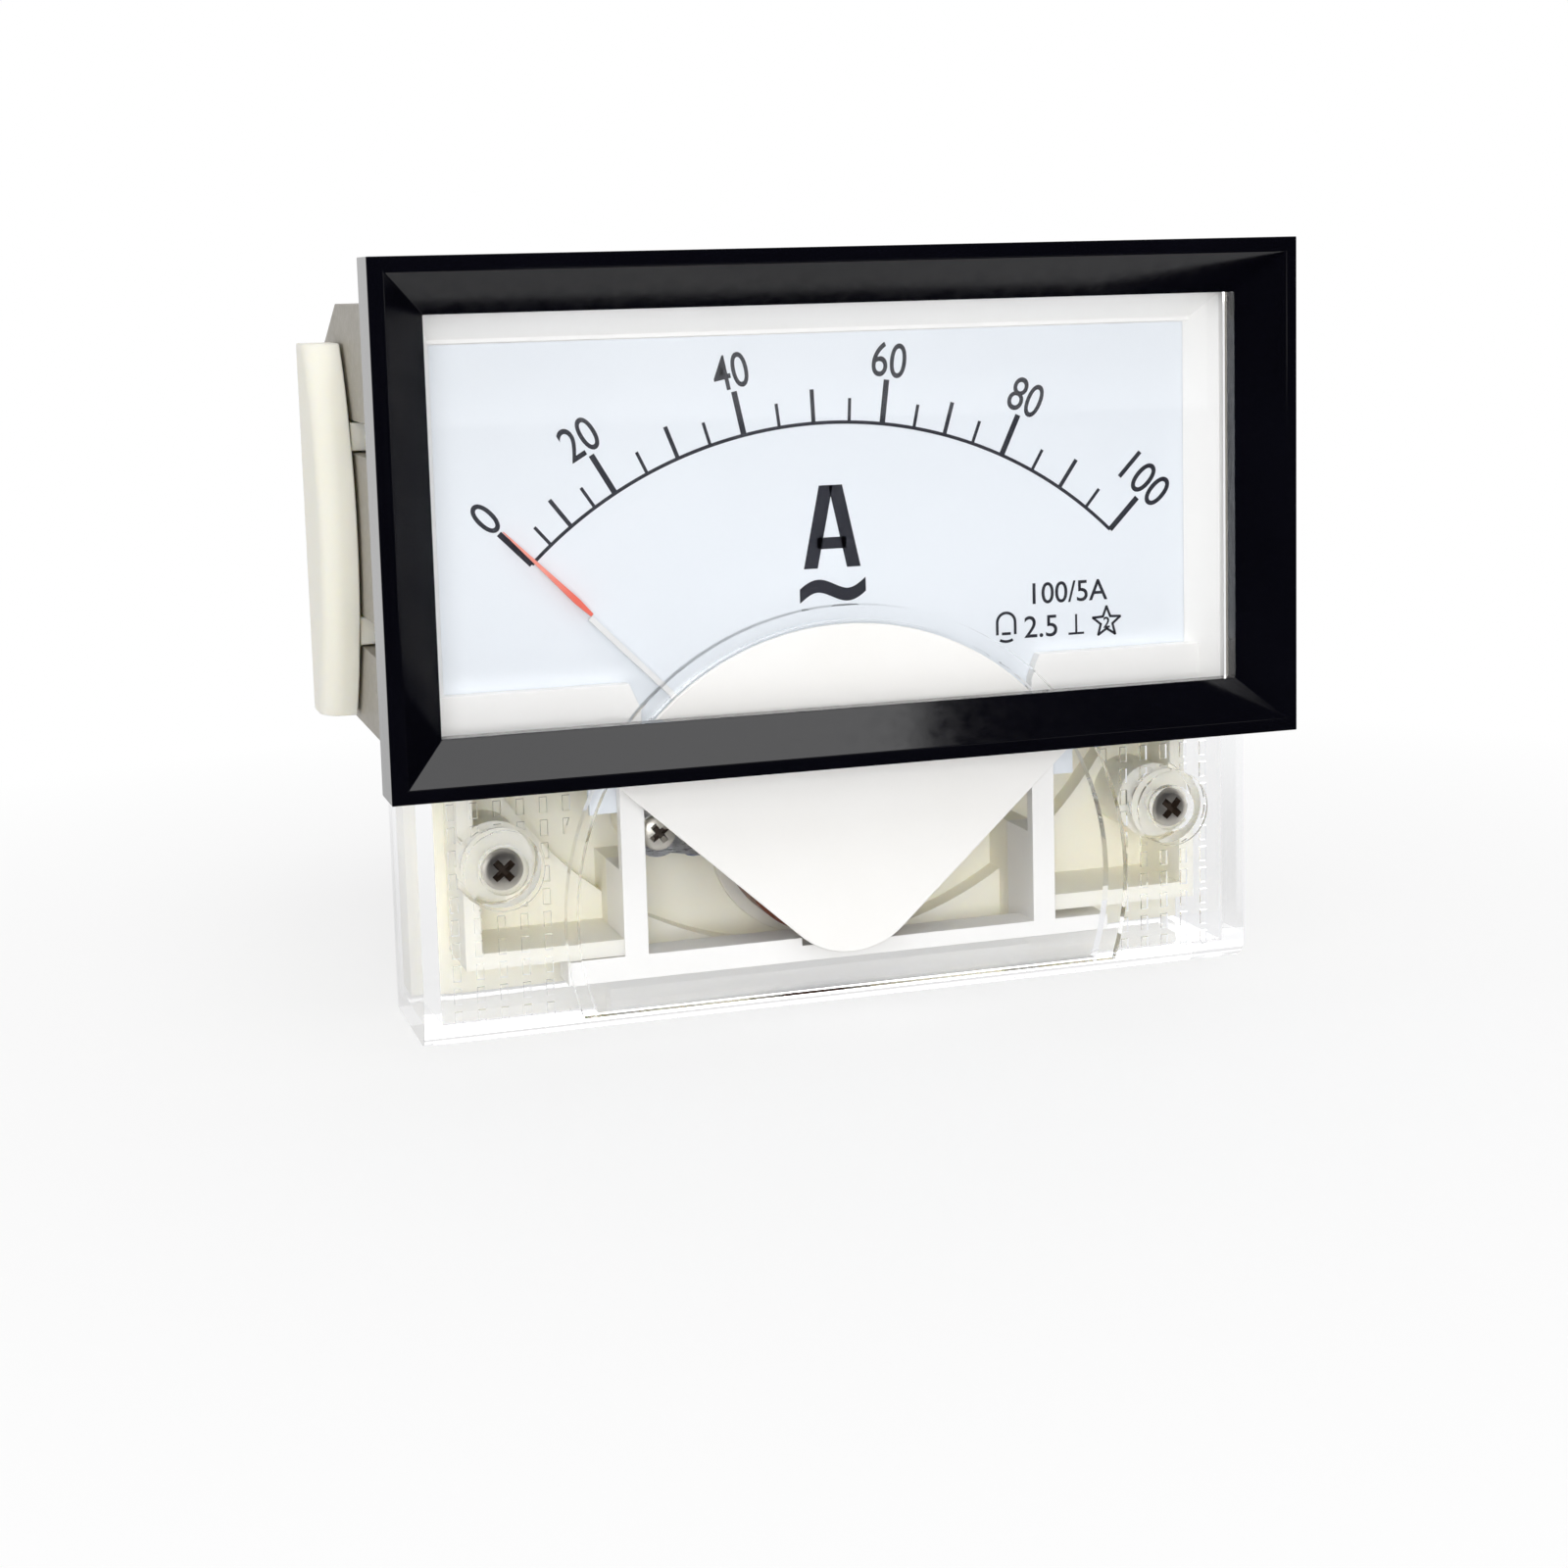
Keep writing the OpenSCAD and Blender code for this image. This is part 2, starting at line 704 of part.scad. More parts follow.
// Bridge: two lugs, a ring round the spindle and a raised strap in front of it.
module movement_bridge() {
  v1 = bridge_v + bridge_t;
  color([0.72, 0.73, 0.74])
    difference() {
      union() {
        slab(bridge_v, v1) {
          for (lug = [lug_left, lug_right])
            translate(lug)
              circle(r = lug_r);
          translate([0, axis_z])
            circle(r = yoke_x + 0.9);
          for (lug = [lug_left, lug_right])
            bridge_arm(lug);
        }
        for (side = [-1, 1])
          block(side * yoke_x - yoke_t / 2, side * yoke_x + yoke_t / 2, axis_z - yoke_w / 2,
                axis_z + yoke_w / 2, v1 - eps, strap_v + strap_t);
        block(-yoke_x - yoke_t / 2, yoke_x + yoke_t / 2, axis_z - yoke_w / 2, axis_z + yoke_w / 2,
              strap_v, strap_v + strap_t);
      }
      rod(0, axis_z, 2.4, bridge_v - 1, v1 + 1);
      rod(0, axis_z, jewel_r - 0.01, strap_v - 1, strap_v + strap_t + 1);
      for (lug = [lug_left, lug_right])
        rod(lug[0], lug[1], bridge_screw[2] + screw_clearance - 0.05, bridge_v - 1, v1 + 1);
    }
}

// Flat arm from a lug to the middle ring.
module bridge_arm(lug) {
  reach = norm(lug - [0, axis_z]);
  translate([0, axis_z])
    rotate(atan2(lug[1] - axis_z, lug[0]))
      translate([yoke_x - 1, -bridge_arm_w / 2])
        square([reach - yoke_x + 1, bridge_arm_w]);
}

module bridge_screws() {
  color([0.82, 0.82, 0.8])
    for (lug = [lug_left, lug_right])
      pan_screw(lug[0], lug[1], bridge_v + bridge_t, bridge_screw);
}

module front_jewel_screw() {
  color([0.8, 0.66, 0.34])
    difference() {
      rod(0, axis_z, jewel_r, jewel_v, jewel_top_v);
      rod(0, axis_z, spindle_r + jewel_gap, jewel_v - 1, spindle_tip_v + 0.1);
      block(-jewel_r - 1, jewel_r + 1, axis_z - 0.15, axis_z + 0.15,
            jewel_top_v - 0.15, jewel_top_v + 1);
    }
}

module rear_jewel() {
  color([0.8, 0.66, 0.34])
    difference() {
      rod(0, axis_z, rear_jewel_r, rear_jewel_v, floor_t + 1);
      rod(0, axis_z, spindle_r + jewel_gap, spindle_foot_v - 0.1, floor_t + 2);
    }
}

// Bobbin: a wide rear cheek, the core tube and a small front cheek.
module coil_bobbin() {
  color([0.93, 0.9, 0.8])
    difference() {
      union() {
        rod(0, axis_z, bobbin_r, bobbin_back_v, bobbin_back_v + bobbin_t);
        rod(0, axis_z, coil_bore_r + bobbin_t, bobbin_back_v, bobbin_front_v);
        rod(0, axis_z, winding_r - 1, bobbin_front_v - bobbin_t, bobbin_front_v);
      }
      rod(0, axis_z, coil_bore_r, bobbin_back_v - 1, bobbin_front_v + 1);
    }
}

module coil_winding() {
  color([0.45, 0.25, 0.18])
    difference() {
      rod(0, axis_z, winding_r, bobbin_back_v + bobbin_t, bobbin_front_v - bobbin_t);
      rod(0, axis_z, coil_bore_r + bobbin_t, bobbin_back_v, bobbin_front_v);
    }
}

// Part of a ring wall round the axis, between two angles from upright.
module ring_sector(r_in, r_out, a0, a1, v0, v1) {
  about_axis(a0)
    rotate([90, 0, 0])
      translate([0, 0, v0])
        rotate([0, 0, 90 - (a1 - a0)])
          rotate_extrude(angle = a1 - a0)
            translate([r_in, 0])
              square([r_out - r_in, v1 - v0]);
}

module fixed_iron() {
  color([0.5, 0.5, 0.52])
    ring_sector(coil_bore_r - 0.1 - iron_t, coil_bore_r - 0.1, zero_angle - 30, zero_angle + 70,
                bobbin_back_v + 1, bobbin_front_v - 1);
}

module spindle() {
  color([0.7, 0.7, 0.72]) {
    rod(0, axis_z, spindle_r, spindle_foot_v, spindle_tip_v);
    rod(0, axis_z, hub_r, pointer_v - 0.8, pointer_v);
    rod(0, axis_z, 0.7, spring_v - 0.1, spring_v + spring_h + 0.05);
  }
}

module moving_iron() {
  outer = coil_bore_r - 0.1 - iron_t - 0.5;
  v0 = bobbin_back_v + 1.2;
  v1 = bobbin_front_v - 1.2;
  color([0.45, 0.45, 0.48]) {
    ring_sector(outer - iron_t, outer, zero_angle - 25, zero_angle + 45, v0, v1);
    about_axis(zero_angle + 10)
      block(-0.3, 0.3, spindle_r, outer - iron_t + 0.1, v0 + 1.2, v1 - 1.2);
  }
}

// ---------- pointer ----------

module pointer_stem() {
  color([0.93, 0.93, 0.93])
    about_axis(zero_angle)
      slab(pointer_v, pointer_v + pointer_t)
        difference() {
          union() {
            circle(r = hub_r + 0.3);
            patch(-stem_w / 2, stem_w / 2, 0, blade_r + 0.5);
            patch(-0.35, 0.35, -6.4, 0);
            patch(-4.6, 4.6, -3.3, -2.6);
          }
          circle(r = spindle_r);
        }
}

// Knife blade: a long thin diamond that starts on the stem's end.
module pointer_blade() {
  color([0.85, 0.22, 0.16])
    about_axis(zero_angle)
      slab(pointer_v, pointer_v + pointer_t)
        polygon([
          [-stem_w / 2, blade_r + 0.5], [-blade_w / 2, blade_r + 2.2], [-0.08, pointer_r],
          [0.08, pointer_r], [blade_w / 2, blade_r + 2.2], [stem_w / 2, blade_r + 0.5]
        ]);
}

module balance_weights() {
  color([0.8, 0.66, 0.34])
    about_axis(zero_angle) {
      rod(0, -5.6, 0.95, pointer_v - 1.5, pointer_v);
      for (side = [-1, 1])
        rod(side * 3.9, -2.95, 0.7, pointer_v - 0.9, pointer_v);
    }
}

// Arm that holds the spring's outer end; it turns on the front jewel screw.
module zero_arm() {
  color([0.8, 0.66, 0.34])
    about_axis(180) {
      slab(arm_v, arm_v + arm_t)
        difference() {
          union() {
            circle(r = jewel_r + 1);
            patch(-0.6, 0.6, 0, spring_r + 0.7);
          }
          circle(r = jewel_r + arm_gap);
        }
      block(-0.5, 0.5, spring_r + 0.1, spring_r + 0.7, spring_v, arm_v + eps);
    }
}

// Flat spiral of spring_turns turns, from the collet to the zero arm.
module control_spring() {
  r0 = 1.1;
  r1 = spring_r - 0.05;
  steps = round(24 * spring_turns);
  half = 0.06;
  spiral = function (k, shift)
    let (a = 360 * spring_turns * k / steps, r = r0 + (r1 - r0) * k / steps + shift)
      [r * sin(a), r * cos(a)];
  color([0.75, 0.6, 0.35])
    about_axis(180)
      union() {
        slab(spring_v, spring_v + spring_h)
          polygon([
            for (k = [0 : steps]) spiral(k, half),
            for (k = [steps : -1 : 0]) spiral(k, -half)
          ]);
        block(-0.5, 0.5, spring_r - 0.15, spring_r + 0.1, spring_v, spring_v + spring_h);
      }
}

// ---------- leads ----------

// Point at t along a path, smooth through every given point.
function path_point(p, t) =
  let (
    n = len(p) - 1,
    i = min(floor(t), n - 1),
    u = t - i,
    a = p[max(i - 1, 0)], b = p[i], c = p[i + 1], d = p[min(i + 2, n)]
  )
  0.5 * (2 * b + (c - a) * u + (2 * a - 5 * b + 4 * c - d) * u * u
         + (3 * b - a - 3 * c + d) * u * u * u);

function unit(v) = v / norm(v);

// Tube along a path, with a ring of sides round each of its points.
module tube(path, r, sides, per_span) {
  n = (len(path) - 1) * per_span;
  centres = [for (k = [0 : n]) path_point(path, k / per_span)];
  points = [
    for (k = [0 : n])
      let (
        dir = unit(centres[min(k + 1, n)] - centres[max(k - 1, 0)]),
        side = unit(cross(dir, [0.3, 0.1, 1])),
        up = cross(side, dir)
      )
      for (s = [0 : sides - 1])
        centres[k] + r * (cos(360 * s / sides) * side + sin(360 * s / sides) * up)
  ];
  faces = [
    [for (s = [0 : sides - 1]) s],
    for (k = [0 : n - 1], s = [0 : sides - 1])
      [k * sides + s, (k + 1) * sides + s, (k + 1) * sides + (s + 1) % sides],
    for (k = [0 : n - 1], s = [0 : sides - 1])
      [k * sides + s, (k + 1) * sides + (s + 1) % sides, k * sides + (s + 1) % sides],
    [for (s = [sides - 1 : -1 : 0]) n * sides + s]
  ];
  polyhedron(points, faces);
}

module coil_lead_left() {
  color([0.15, 0.25, 0.6])
    tube(lead_left_path, lead_r, 8, 3);
}

module coil_lead_right() {
  color([0.15, 0.25, 0.6])
    tube(lead_right_path, lead_r, 8, 3);
}

// ---------- rear case ----------

// Side view of the case, with a long slope at the rear of top and bottom.
module case_section(in, front, back) {
  h = case_h / 2 - in;
  tail = h - case_slope_h;
  start = case_depth - case_slope_len;
  polygon([
    [front, -h], [start, -h], [back, -tail - (case_depth - back) * case_slope_h / case_slope_len],
    [back, tail + (case_depth - back) * case_slope_h / case_slope_len], [start, h], [front, h]
  ]);
}

// T-shaped slot in the right-hand side wall, along the case.
module clamp_slot(z, gap) {
  x = case_w / 2;
  patch(x - slot_step - gap, x + 1, z - slot_mouth / 2 + gap, z + slot_mouth / 2 - gap);
  patch(x - 2 * slot_step + gap, x - slot_step - gap, z - slot_w / 2 + gap, z + slot_w / 2 - gap);
}

// The two slot heights of a clamp.
foot_heights = [clamp_z - clamp_foot_pitch / 2, clamp_z + clamp_foot_pitch / 2];

module rear_case() {
  lip_half_w = cover_in_w / 2 - fit_gap;
  color([0.74, 0.74, 0.73])
    difference() {
      union() {
        difference() {
          bar(case_w)
            case_section(0, 0, case_depth);
          bar(case_w - 2 * case_wall_side)
            case_section(case_t, -1, case_depth - case_t - 0.5);
        }
        intersection() {
          for (side = [-1, 1], level = [-1, 1])
            rod(side * case_screw_x, level * case_screw_z, case_boss_r, -12, register_depth);
          bar(case_w - 1)
            case_section(0.5, -register_depth, case_depth);
        }
        difference() {
          block(-lip_half_w, lip_half_w, -case_h / 2, cover_in_top - fit_gap,
                -eps, register_depth);
          block(case_wall_side - case_w / 2, case_w / 2 - case_wall_side,
                case_t - case_h / 2, case_h / 2 - case_t, -1, register_depth + 1);
        }
        for (side = [-1, 1])
          rod(side * terminal_pitch / 2, 0, 5.2, -case_depth - 1, -case_depth + 1);
      }
      for (side = [-1, 1]) {
        mirror([side < 0 ? 1 : 0, 0, 0])
          slab(-case_depth - 1, -4)
            for (z = foot_heights) {
              patch(case_w / 2 - slot_step, case_w / 2 + 1, z - slot_mouth / 2, z + slot_mouth / 2);
              patch(case_w / 2 - 2 * slot_step, case_w / 2 - slot_step + eps,
                    z - slot_w / 2, z + slot_w / 2);
            }
        rod(side * terminal_pitch / 2, 0, terminal_r + 0.2, -case_depth - 2, -case_depth + 6);
        for (level = [-1, 1])
          rod(side * case_screw_x, level * case_screw_z, case_screw[2] - tap_undersize - 0.05,
              -10, register_depth + 1);
      }
    }
}

// Right-hand clamp: a bowed bar outside, and two T feet in the slots.
module clamp_right() {
  x0 = clamp_in_x;
  rear = clamp_front + clamp_len;
  round_r = 2;
  color([0.97, 0.95, 0.84]) {
    intersection() {
      translate([x0, clamp_front + clamp_bow_r, clamp_z])
        rotate([0, 90, 0])
          union() {
            cylinder(r = clamp_bow_r, h = clamp_t - round_r, $fn = 128);
            cylinder(r = clamp_bow_r - round_r, h = clamp_t, $fn = 128);
            translate([0, 0, clamp_t - round_r])
              rotate_extrude($fn = 128)
                translate([clamp_bow_r - round_r, 0])
                  intersection() {
                    circle(r = round_r);
                    square(round_r);
                  }
          }
      block(x0 - 1, x0 + clamp_t + 1, clamp_z - clamp_h / 2, clamp_z + clamp_h / 2,
            -rear, -clamp_front + 1);
    }
    slab(-rear, -rear + clamp_foot_len)
      for (z = foot_heights) {
        patch(case_w / 2 - slot_step - slot_gap, x0 + eps,
              z - slot_mouth / 2 + slot_gap, z + slot_mouth / 2 - slot_gap);
        patch(case_w / 2 - 2 * slot_step + slot_gap, case_w / 2 - slot_step - slot_gap,
              z - slot_w / 2 + slot_gap, z + slot_w / 2 - slot_gap);
      }
  }
}

module side_clamp_right() {
  clamp_right();
}

module side_clamp_left() {
  mirror([1, 0, 0])
    clamp_right();
}

// ---------- terminals ----------

module at_terminals() {
  for (side = [-1, 1])
    translate([side * terminal_pitch / 2, 0, 0])
      children();
}

module terminal_studs() {
  color([0.8, 0.66, 0.34])
    at_terminals() {
      rod(0, 0, terminal_r, -case_depth - terminal_len, -case_depth + 3);
      rod(0, 0, terminal_head_r, -case_depth + 2.5, -case_depth + 4.5);
    }
}

module terminal_flat_washers() {
  color([0.8, 0.8, 0.8])
    at_terminals()
      difference() {
        rod(0, 0, flat_washer_r, -case_depth - 1.8, -case_depth - 1);
        rod(0, 0, terminal_r + 0.2, -case_depth - 3, -case_depth);
      }
}

// Spring washer: a ring with a slanted gap.
module terminal_spring_washers() {
  color([0.6, 0.6, 0.62])
    at_terminals()
      difference() {
        rod(0, 0, spring_washer_r, -case_depth - 2.8, -case_depth - 1.8);
        rod(0, 0, terminal_r + 0.2, -case_depth - 4, -case_depth);
        translate([0, case_depth + 2.3, 2.8])
          rotate([25, 0, 0])
            cube([0.5, 3, 3], center = true);
      }
}

module terminal_nuts() {
  color([0.8, 0.8, 0.8])
    at_terminals()
      difference() {
        rotate([90, 0, 0])
          translate([0, 0, -case_depth - 6])
            cylinder(r = terminal_nut_af / 2 / cos(30), h = 3.2, $fn = 6);
        rod(0, 0, terminal_r + 0.1, -case_depth - 8, -case_depth);
      }
}

bezel_frame();
front_cover();
cover_screws();
apron();
inner_frame();
dial_plate();
dial_screws();
pointer_stops();
base();
case_screws();
movement_bridge();
bridge_screws();
front_jewel_screw();
rear_jewel();
coil_bobbin();
coil_winding();
fixed_iron();
spindle();
moving_iron();
pointer_stem();
pointer_blade();
balance_weights();
zero_arm();
control_spring();
coil_lead_left();
coil_lead_right();
rear_case();
side_clamp_left();
side_clamp_right();
terminal_studs();
terminal_flat_washers();
terminal_spring_washers();
terminal_nuts();
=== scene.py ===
"""Looks of an analog panel meter: finishes, print, screws, threads, camera and studio.

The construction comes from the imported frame, and its axes hold: X to the right, Y backwards
through the panel, Z up. Lengths are in millimetres. Angles are in degrees, clockwise as seen
from the front, and on the dial they count from upright.
"""

import json
import logging
import math
from collections.abc import Callable, Iterator, Sequence
from contextlib import contextmanager
from dataclasses import dataclass, field
from enum import Enum

import bpy
from mathutils import Matrix, Vector


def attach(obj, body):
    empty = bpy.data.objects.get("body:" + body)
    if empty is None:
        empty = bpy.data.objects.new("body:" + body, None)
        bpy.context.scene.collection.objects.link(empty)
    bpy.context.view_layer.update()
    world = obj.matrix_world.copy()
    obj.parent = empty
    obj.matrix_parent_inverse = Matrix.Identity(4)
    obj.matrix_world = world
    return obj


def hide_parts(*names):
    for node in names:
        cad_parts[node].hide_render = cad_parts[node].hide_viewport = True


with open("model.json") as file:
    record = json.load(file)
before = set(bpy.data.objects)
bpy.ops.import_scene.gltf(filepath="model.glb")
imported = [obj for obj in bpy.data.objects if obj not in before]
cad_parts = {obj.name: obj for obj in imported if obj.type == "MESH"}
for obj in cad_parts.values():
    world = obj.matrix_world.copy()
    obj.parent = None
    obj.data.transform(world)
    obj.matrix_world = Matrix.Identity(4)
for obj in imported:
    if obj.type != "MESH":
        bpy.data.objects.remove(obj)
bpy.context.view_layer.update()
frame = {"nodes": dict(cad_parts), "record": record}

LOG = logging.getLogger("panel_meter")
MM = 0.001
AXIS_Z = -28.7  # height of the pointer's axis
MERGE_GAP = 0.0005  # points nearer to each other than this become one
FLAT_ANGLE = 0.8  # faces that differ by less than this become one
SMOOTH_ANGLE = 35  # edges that turn by more than this stay sharp
BEVEL_ANGLE = 32  # edges that turn by more than this are rounded
BEVEL_STEPS = 2  # steps across a rounding
ON_FACE = 0.02  # a point nearer to a straight face than this lies on it
SLOPE_GAP = 0.03  # a point nearer to a slope than this lies on it
FACING = 0.9  # a face looks along an axis if its normal has this much of it
PRINT_SIZE = 0.01  # size of lettering before it is fitted to its box, in metres
Pair = tuple[float, float]
Point = tuple[float, float, float]
Profile = Sequence[Pair]
Piece = bpy.types.Object
Material = bpy.types.Material
Tree = bpy.types.NodeTree
Node = bpy.types.Node
Socket = bpy.types.NodeSocket
Inputs = dict[str | int, object]


# ------------ modelling helpers


def deselect_all() -> None:
    """Leave edit mode if it is on, and select nothing."""
    if bpy.context.object and bpy.context.object.mode != "OBJECT":
        bpy.ops.object.mode_set(mode="OBJECT")
    bpy.ops.object.select_all(action="DESELECT")


def activate(piece: Piece) -> None:
    """Make piece the only selected object, and the active one.

    Args:
        piece: The object.
    """
    deselect_all()
    piece.select_set(True)
    bpy.context.view_layer.objects.active = piece


@contextmanager
def editing(piece: Piece, kind: str = "FACE") -> Iterator[None]:
    """Hold piece in edit mode with everything selected.

    Args:
        piece: The object to edit.
        kind: The kind of element that is selected: VERT, EDGE or FACE.
    """
    activate(piece)
    bpy.ops.object.mode_set(mode="EDIT")
    bpy.ops.mesh.select_mode(type=kind)
    bpy.ops.mesh.select_all(action="SELECT")
    yield
    bpy.ops.object.mode_set(mode="OBJECT")


def pick_faces(piece: Piece, test: Callable[[bpy.types.MeshPolygon], bool]) -> None:
    """Select the faces of piece that pass test, for the next edit.

    Args:
        piece: The object, which is in edit mode.
        test: Says whether a face is taken.
    """
    bpy.ops.mesh.select_all(action="DESELECT")
    bpy.ops.object.mode_set(mode="OBJECT")
    for face in piece.data.polygons:
        face.select = test(face)
    bpy.ops.object.mode_set(mode="EDIT")


def pick_points(piece: Piece, test: Callable[[Vector], bool]) -> None:
    """Select the points of piece that pass test, for the next edit.

    Args:
        piece: The object, which is in edit mode for points.
        test: Says whether a point is taken, from its place.
    """
    bpy.ops.mesh.select_all(action="DESELECT")
    bpy.ops.object.mode_set(mode="OBJECT")
    for point in piece.data.vertices:
        point.select = test(point.co / MM)
    bpy.ops.object.mode_set(mode="EDIT")


def settle(piece: Piece) -> Piece:
    """Move the place, turn and size of piece into its mesh.

    Args:
        piece: The object to settle.

    Returns:
        The same object, at the origin.
    """
    activate(piece)
    bpy.ops.object.transform_apply(location=True, rotation=True, scale=True)
    return piece


def apply_modifier(piece: Piece, kind: str, **settings: object) -> None:
    """Add one modifier to piece and apply it.

    Args:
        piece: The object to change.
        kind: The modifier's type.
        settings: The modifier's values, by name.
    """
    activate(piece)
    modifier = piece.modifiers.new(kind.lower(), kind)
    for name, value in settings.items():
        setattr(modifier, name, value)
    bpy.ops.object.modifier_apply(modifier=modifier.name)


def smooth(piece: Piece, angle: float = SMOOTH_ANGLE) -> None:
    """Shade piece smooth, but for its sharp edges.

    Args:
        piece: The object.
        angle: Edges that turn by more than this stay sharp.
    """
    activate(piece)
    bpy.ops.object.shade_smooth_by_angle(angle=math.radians(angle))


def soften(piece: Piece, width: float) -> None:
    """Shade piece smooth between its sharp edges, and round those edges.

    The broad faces keep their own direction, so that only the roundings catch the light.

    Args:
        piece: The object to finish.
        width: Width of the rounding; none if it is 0.
    """
    smooth(piece)
    if width:
        apply_modifier(piece, "BEVEL", width=width * MM, segments=BEVEL_STEPS,
                       limit_method="ANGLE", angle_limit=math.radians(BEVEL_ANGLE),
                       use_clamp_overlap=True, harden_normals=True)


def heal(piece: Piece) -> None:
    """Merge what meets in piece, and point every face outwards.

    Args:
        piece: The object.
    """
    with editing(piece, "VERT"):
        bpy.ops.mesh.remove_doubles(threshold=MERGE_GAP * MM)
        bpy.ops.mesh.normals_make_consistent(inside=False)


def join(name: str, pieces: Sequence[Piece]) -> Piece:
    """Join pieces into one object.

    Args:
        name: The joined object's name.
        pieces: The objects to join; the first one is kept.

    Returns:
        The joined object.
    """
    deselect_all()
    for piece in pieces:
        piece.select_set(True)
    bpy.context.view_layer.objects.active = pieces[0]
    bpy.ops.object.join()
    pieces[0].name = name
    return pieces[0]


def copy_at(piece: Piece, name: str, shift: Point, turn: float = 0) -> Piece:
    """Copy piece with a mesh of its own.

    Args:
        piece: The object to copy; it stays where it is.
        name: The copy's name.
        shift: How far the copy is moved.
        turn: Degrees that the copy turns about the Y axis, before the move.

    Returns:
        The copy, settled.
    """
    activate(piece)
    bpy.ops.object.duplicate(linked=False)
    copy = bpy.context.object
    copy.name = name
    copy.rotation_euler = (0, math.radians(turn), 0)
    copy.location = Vector(shift) * MM
    return settle(copy)


def box_piece(name: str, centre: Point, size: Point, turn: float = 0) -> Piece:
    """Make a plain block.

    Args:
        name: The object's name.
        centre: Its centre.
        size: Its size along X, Y and Z.
        turn: Degrees clockwise about the Y axis, seen from the front.

    Returns:
        The block, settled.
    """
    deselect_all()
    bpy.ops.mesh.primitive_cube_add(size=1, location=Vector(centre) * MM, scale=Vector(size) * MM,
                                    rotation=(0, math.radians(turn), 0))
    piece = bpy.context.object
    piece.name = name
    return settle(piece)


def turned(name: str, profile: Profile, x: float, z: float, steps: int = 48,
           sweep: float = 360, start: float = 0) -> Piece:
    """Turn a profile round an axis along Y, as on a lathe.

    Args:
        name: The object's name.
        profile: Points (radius, y); a closed ring repeats its first point.
        x: The axis's place along X.
        z: The axis's place along Z.
        steps: Steps round the sweep.
        sweep: Degrees turned.
        start: Degrees clockwise from upright at which the sweep starts.

    Returns:
        The turned object, settled.
    """
    deselect_all()
    bpy.ops.mesh.primitive_plane_add(size=MM, location=(0, 0, 0))
    piece = bpy.context.object
    piece.name = name
    ahead = Vector((math.sin(math.radians(start)), 0, math.cos(math.radians(start))))
    places = [Vector((x, y, z)) * MM + ahead * radius * MM for radius, y in profile]
    with editing(piece, "VERT"):
        bpy.ops.mesh.merge(type="CENTER")
        bpy.ops.transform.translate(value=places[0])
        for before, after in zip(places, places[1:]):
            bpy.ops.mesh.extrude_region_move(TRANSFORM_OT_translate={"value": after - before})
        bpy.ops.mesh.select_all(action="SELECT")
        bpy.ops.mesh.remove_doubles(threshold=MERGE_GAP * MM)
        bpy.ops.mesh.spin(steps=steps, angle=-math.radians(sweep), axis=(0, 1, 0),
                          center=Vector((x, 0, z)) * MM)
    heal(piece)
    if sweep < 360:
        with editing(piece, "EDGE"):
            bpy.ops.mesh.select_all(action="DESELECT")
            bpy.ops.mesh.select_non_manifold()
            bpy.ops.mesh.edge_face_add()
        heal(piece)
    return piece


def subtract(piece: Piece, tool: Piece) -> None:
    """Cut tool out of piece, and remove the tool.

    Args:
        piece: The object to cut.
        tool: What is cut out of it.
    """
    apply_modifier(piece, "BOOLEAN", operation="DIFFERENCE", solver="EXACT", object=tool)
    bpy.data.objects.remove(tool, do_unlink=True)


def slanted_bar(name: str, foot: float, head: float, width: float, low: float, high: float,
                y: float, thickness: float) -> Piece:
    """Make a flat bar that leans, with level ends.

    Args:
        name: The object's name.
        foot: X of the lower end's middle.
        head: X of the upper end's middle.
        width: The bar's level width.
        low: Z of the lower end.
        high: Z of the upper end.
        y: Y of the bar's middle.
        thickness: Thickness along Y.

    Returns:
        The bar, settled.
    """
    bar = box_piece(name, (foot, y, (low + high) / 2), (width, thickness, high - low))
    with editing(bar):
        pick_faces(bar, lambda face: face.normal.z > FACING)
        bpy.ops.transform.translate(value=((head - foot) * MM, 0, 0))
    return bar


def printed_text(name: str, body: str, box: Point, place: Point, turn: float = 0,
                 weight: float = 0) -> Piece:
    """Make raised lettering that faces forward.

    Args:
        name: The object's name.
        body: The characters.
        box: Width, thickness and height that the lettering fills.
        place: Its centre.
        turn: Degrees clockwise, seen from the front.
        weight: How much bolder than the plain letters, as a part of their height.

    Returns:
        The lettering as a closed mesh, settled.
    """
    deselect_all()
    bpy.ops.object.text_add(location=(0, 0, 0))
    piece = bpy.context.object
    piece.name = name
    text = piece.data
    text.body = body
    text.size = PRINT_SIZE
    text.extrude = PRINT_SIZE / 10
    text.offset = PRINT_SIZE * weight
    text.resolution_u = 6
    bpy.ops.object.convert(target="MESH")
    bpy.ops.object.origin_set(type="ORIGIN_GEOMETRY", center="BOUNDS")
    width, height, depth = piece.dimensions
    piece.location = (0, 0, 0)
    piece.scale = (box[0] * MM / width, box[2] * MM / height, box[1] * MM / depth)
    settle(piece)
    piece.rotation_euler = (math.pi / 2, math.radians(turn), 0)
    piece.location = Vector(place) * MM
    settle(piece)
    heal(piece)
    return piece


